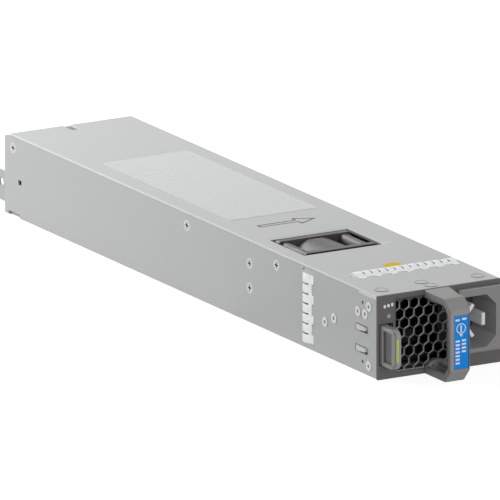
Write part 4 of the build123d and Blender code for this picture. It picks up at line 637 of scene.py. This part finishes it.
rounded_node("handle", 0.5 * mm, keep="handle_label")
rounded_node("cover_top", 0.12 * mm, segments=1, crease=20, material=cover_metal)
rounded_edges = {
    "inlet_housing": 0.25 * mm,
    "contact_strip_left": 0.09 * mm,
    "contact_strip_right": 0.09 * mm,
    "contact_strip_top": 0.09 * mm,
    "inlet_power_blades": 0.2 * mm,
    "inlet_earth_blade": 0.2 * mm,
    "side_rivets": 0.15 * mm,
    "front_bezel": 0.15 * mm,
}
for node, width in rounded_edges.items():
    rounded_node(node, width)

# Marks: their corners and places are in millimetres

mark_thickness = 0.03 * mm


def flat_mark(name, corners, place, material, slot, rounding=0.0, line=0.0):
    """A thin printed shape on a surface: filled, or only a line of the given width along its outline."""
    shape = bmesh.new()
    points = [shape.verts.new((x * mm, y * mm, 0)) for x, y in corners]
    shape.faces.new(points)
    if rounding:
        bmesh.ops.bevel(
            shape,
            geom=shape.verts[:],
            offset=rounding * mm,
            offset_type="OFFSET",
            segments=4,
            profile=0.5,
            affect="VERTICES",
            material=-1,
        )
    if line:
        inner = shape.faces[:]
        shape.normal_update()
        bmesh.ops.inset_region(
            shape, faces=inner, thickness=line * mm, use_even_offset=True, use_boundary=True
        )
        bmesh.ops.delete(shape, geom=inner, context="FACES")
    grown = bmesh.ops.extrude_face_region(shape, geom=shape.faces[:])["geom"]
    upper = [item for item in grown if isinstance(item, bmesh.types.BMVert)]
    bmesh.ops.translate(shape, verts=upper, vec=(0, 0, mark_thickness))
    bmesh.ops.transform(shape, matrix=place, verts=shape.verts)
    piece = finish_mesh(shape, name)
    dress(piece, slot, material)
    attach(piece, "case")
    return piece


def on_cover(width, depth):
    """A place on the cover, so far right of the left wall and behind the bezel, that looks up."""
    return Matrix.Translation((case_left + width * mm, bezel_face + depth * mm, cover_face))


arrow_half, arrow_neck = 15.5, 5.0
shaft_half, head_half = 1.9, 5.4
arrow_corners = [
    (-arrow_half, -shaft_half),
    (arrow_neck, -shaft_half),
    (arrow_neck, -head_half),
    (arrow_half, 0),
    (arrow_neck, head_half),
    (arrow_neck, shaft_half),
    (-arrow_half, shaft_half),
]
flat_mark(
    "cover_arrow_print",
    arrow_corners,
    on_cover(31.1, 137.2),
    print_grey,
    "label_silver",
    rounding=0.4,
    line=0.95,
)


# Handle label: a thin border, a ring with a pointer, and two columns of short bars
label_low, label_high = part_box("handle_label")
label_face = label_low.y + 0.05 * mm
label = merged_copy("handle_label")
for vert in label.verts:
    vert.co.y = max(vert.co.y, label_face)
label_piece = finish_mesh(label, "label_sheet")
dress(label_piece, "handle_label")
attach(label_piece, "case")
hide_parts("handle_label")
label_width = (label_high.x - label_low.x) / mm
label_length = (label_high.z - label_low.z) / mm


def on_label(width, drop):
    """A place on the handle's label, so far right of its left edge and under its top, that looks forwards."""
    spot = (label_low.x + width * mm, label_face, label_high.z - drop * mm)
    return Matrix.Translation(spot) @ Matrix.Rotation(radians(90), 4, "X")


def box_corners(width, height):
    """The corners of a centred box."""
    return [(x * width / 2, y * height / 2) for x, y in ((-1, -1), (1, -1), (1, 1), (-1, 1))]


flat_mark(
    "label_border",
    box_corners(label_width, label_length),
    on_label(label_width / 2, label_length / 2),
    print_brown,
    "label_blue",
    line=0.3,
)
ring_sides, ring_radius = 28, 2.5
ring_place = on_label(3.9, 6.4)
ring_angles = [2 * pi * side / ring_sides for side in range(ring_sides)]
flat_mark(
    "label_ring",
    [(ring_radius * cos(angle), ring_radius * sin(angle)) for angle in ring_angles],
    ring_place,
    print_white,
    "label_blue",
    line=0.4,
)
pointer_half, tip_half = 0.35, 1.0
pointer_top, pointer_neck, pointer_tip = 1.5, -2.6, -4.0
pointer_corners = [
    (-pointer_half, pointer_top),
    (-pointer_half, pointer_neck),
    (-tip_half, pointer_neck),
    (0, pointer_tip),
    (tip_half, pointer_neck),
    (pointer_half, pointer_neck),
    (pointer_half, pointer_top),
]
flat_mark("label_arrow", pointer_corners, ring_place, print_white, "label_blue")
bar_pitch = 1.75
label_bars = [(2.0, 2.3), (5.6, 2.0)]
label_bars += [(2.1, 12.4 + bar_pitch * row) for row in range(7)]
label_bars += [(5.4, 12.2 + bar_pitch * row) for row in range(4)]
for number, (width, drop) in enumerate(label_bars):
    flat_mark(f"label_bar_{number}", box_corners(2.2, 0.9), on_label(width, drop), print_white, "label_blue")

# Bezel: three short bars over the status light
light_low, light_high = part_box("status_light_pipe")
light_middle = (light_low.x + light_high.x) / 2
bar_step, first_bar, bar_height = 2.0, -2.2, 3.1
for number, rise in enumerate((0.0, 0.25, 0.5)):
    spot = (
        light_middle + (bar_step * number + first_bar) * mm,
        bezel_face,
        light_high.z + (bar_height + rise) * mm,
    )
    flat_mark(
        f"status_bar_{number}",
        box_corners(1.2, 1.5),
        Matrix.Translation(spot) @ Matrix.Rotation(radians(90), 4, "X"),
        print_white,
        "bezel_plastic",
        rounding=0.3,
    )

# Latch spring: the riveted leaf is cut across once a millimetre
first_cut, last_cut = 27, 37
leaf = merged_copy("latch_leaf_spring")
bmesh.ops.triangulate(leaf, faces=leaf.faces)
for cut in range(first_cut, last_cut + 1):
    cut_y = bezel_face + cut * mm
    bmesh.ops.bisect_plane(
        leaf, geom=leaf.verts[:] + leaf.edges[:] + leaf.faces[:], plane_co=(0, cut_y, 0), plane_no=(0, 1, 0)
    )
leaf_piece = finish_mesh(leaf, "leaf_spring_bending")
dress(leaf_piece, "latch_leaf_spring")
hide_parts("latch_leaf_spring")
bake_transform(leaf_piece)

# Studio


def light_path_mix(tree, plain, shown):
    """Shows one shader to the camera, in reflections and through glass, and the plain one elsewhere."""
    rays = tree.nodes.new("ShaderNodeLightPath").outputs
    total = rays["Is Camera Ray"]
    for ray in ("Is Glossy Ray", "Is Transmission Ray"):
        total = calculated(tree, "MAXIMUM", total, rays[ray])
    mix = tree.nodes.new("ShaderNodeMixShader")
    tree.links.new(total, mix.inputs["Fac"])
    tree.links.new(plain, mix.inputs[1])
    tree.links.new(shown, mix.inputs[2])
    return mix.outputs[0]


world = bpy.data.worlds.new("studio_sky")
bpy.context.scene.world = world
world.use_nodes = True
sky = world.node_tree
sky.nodes["Background"].inputs["Color"].default_value = (1, 1, 1, 1)
sky.nodes["Background"].inputs["Strength"].default_value = sky_strength
white = sky.nodes.new("ShaderNodeBackground")
white.inputs["Color"].default_value = (1, 1, 1, 1)
white.inputs["Strength"].default_value = 1.0
sky_mix = light_path_mix(sky, sky.nodes["Background"].outputs[0], white.outputs[0])
sky.links.new(sky_mix, sky.nodes["World Output"].inputs["Surface"])

floor_shape = bmesh.new()
bmesh.ops.create_grid(floor_shape, x_segments=1, y_segments=1, size=floor_size)
bmesh.ops.translate(floor_shape, verts=floor_shape.verts, vec=(0, 0, -floor_drop))
floor = finish_mesh(floor_shape, "studio_floor")
paper, paper_tree, paper_shader = start_material("floor_paper")
paper_shader.inputs["Base Color"].default_value = floor_shade
paper_shader.inputs["Roughness"].default_value = 1.0
paper_shader.inputs["Specular IOR Level"].default_value = 0.0
glow = paper_tree.nodes.new("ShaderNodeEmission")
glow.inputs["Strength"].default_value = floor_glow
lit = paper_tree.nodes.new("ShaderNodeAddShader")
paper_tree.links.new(glow.outputs[0], lit.inputs[0])
paper_tree.links.new(paper_shader.outputs[0], lit.inputs[1])
paper_mix = light_path_mix(paper_tree, paper_shader.outputs[0], lit.outputs[0])
paper_tree.links.new(paper_mix, paper_tree.nodes["Material Output"].inputs["Surface"])
floor.data.materials.append(paper)


def soft_light(name, place, aim, size, power):
    """A square soft box that looks at a point."""
    light = bpy.data.lights.new(name, "AREA")
    light.size = size
    light.energy = power
    holder = bpy.data.objects.new(name, light)
    holder.location = place
    holder.rotation_euler = (Vector(aim) - Vector(place)).to_track_quat("-Z", "Y").to_euler()
    holder.visible_camera = False
    bpy.context.scene.collection.objects.link(holder)


soft_light("rear_left_light", (-0.6, 0.5, 0.3), aim=(0, 0.18, 0.02), size=0.4, power=2.1)
soft_light("overhead_light", (-0.1, 0.8, 0.7), aim=(0, 0.12, 0.02), size=0.6, power=5.3)
soft_light("front_light", (-0.2, -1.6, 0.35), aim=(0, -0.15, 0.02), size=0.6, power=9.0)

# Camera
level = cos(camera_rise)
forward = Vector((sin(camera_turn) * level, cos(camera_turn) * level, -sin(camera_rise)))
right = Vector((cos(camera_turn), -sin(camera_turn), 0))
up = right.cross(forward)
corner = Vector((case_left, bezel_face, cover_face))
middle = photo_width / 2
aside, above = (middle - corner_pixel[0]) / photo_scale, (corner_pixel[1] - middle) / photo_scale
aim = corner + right * aside + up * above
distance = lens_length / film_width * photo_width / photo_scale
camera_data = bpy.data.cameras.new("photo_camera")
camera_data.lens = lens_length
camera_data.sensor_width = film_width
camera_data.clip_end = camera_reach
camera = bpy.data.objects.new("photo_camera", camera_data)
camera.location = aim - forward * distance
camera.rotation_euler = Matrix((right, up, -forward)).transposed().to_euler()
bpy.context.scene.collection.objects.link(camera)
bpy.context.scene.camera = camera
bpy.context.scene.view_settings.view_transform = "Standard"
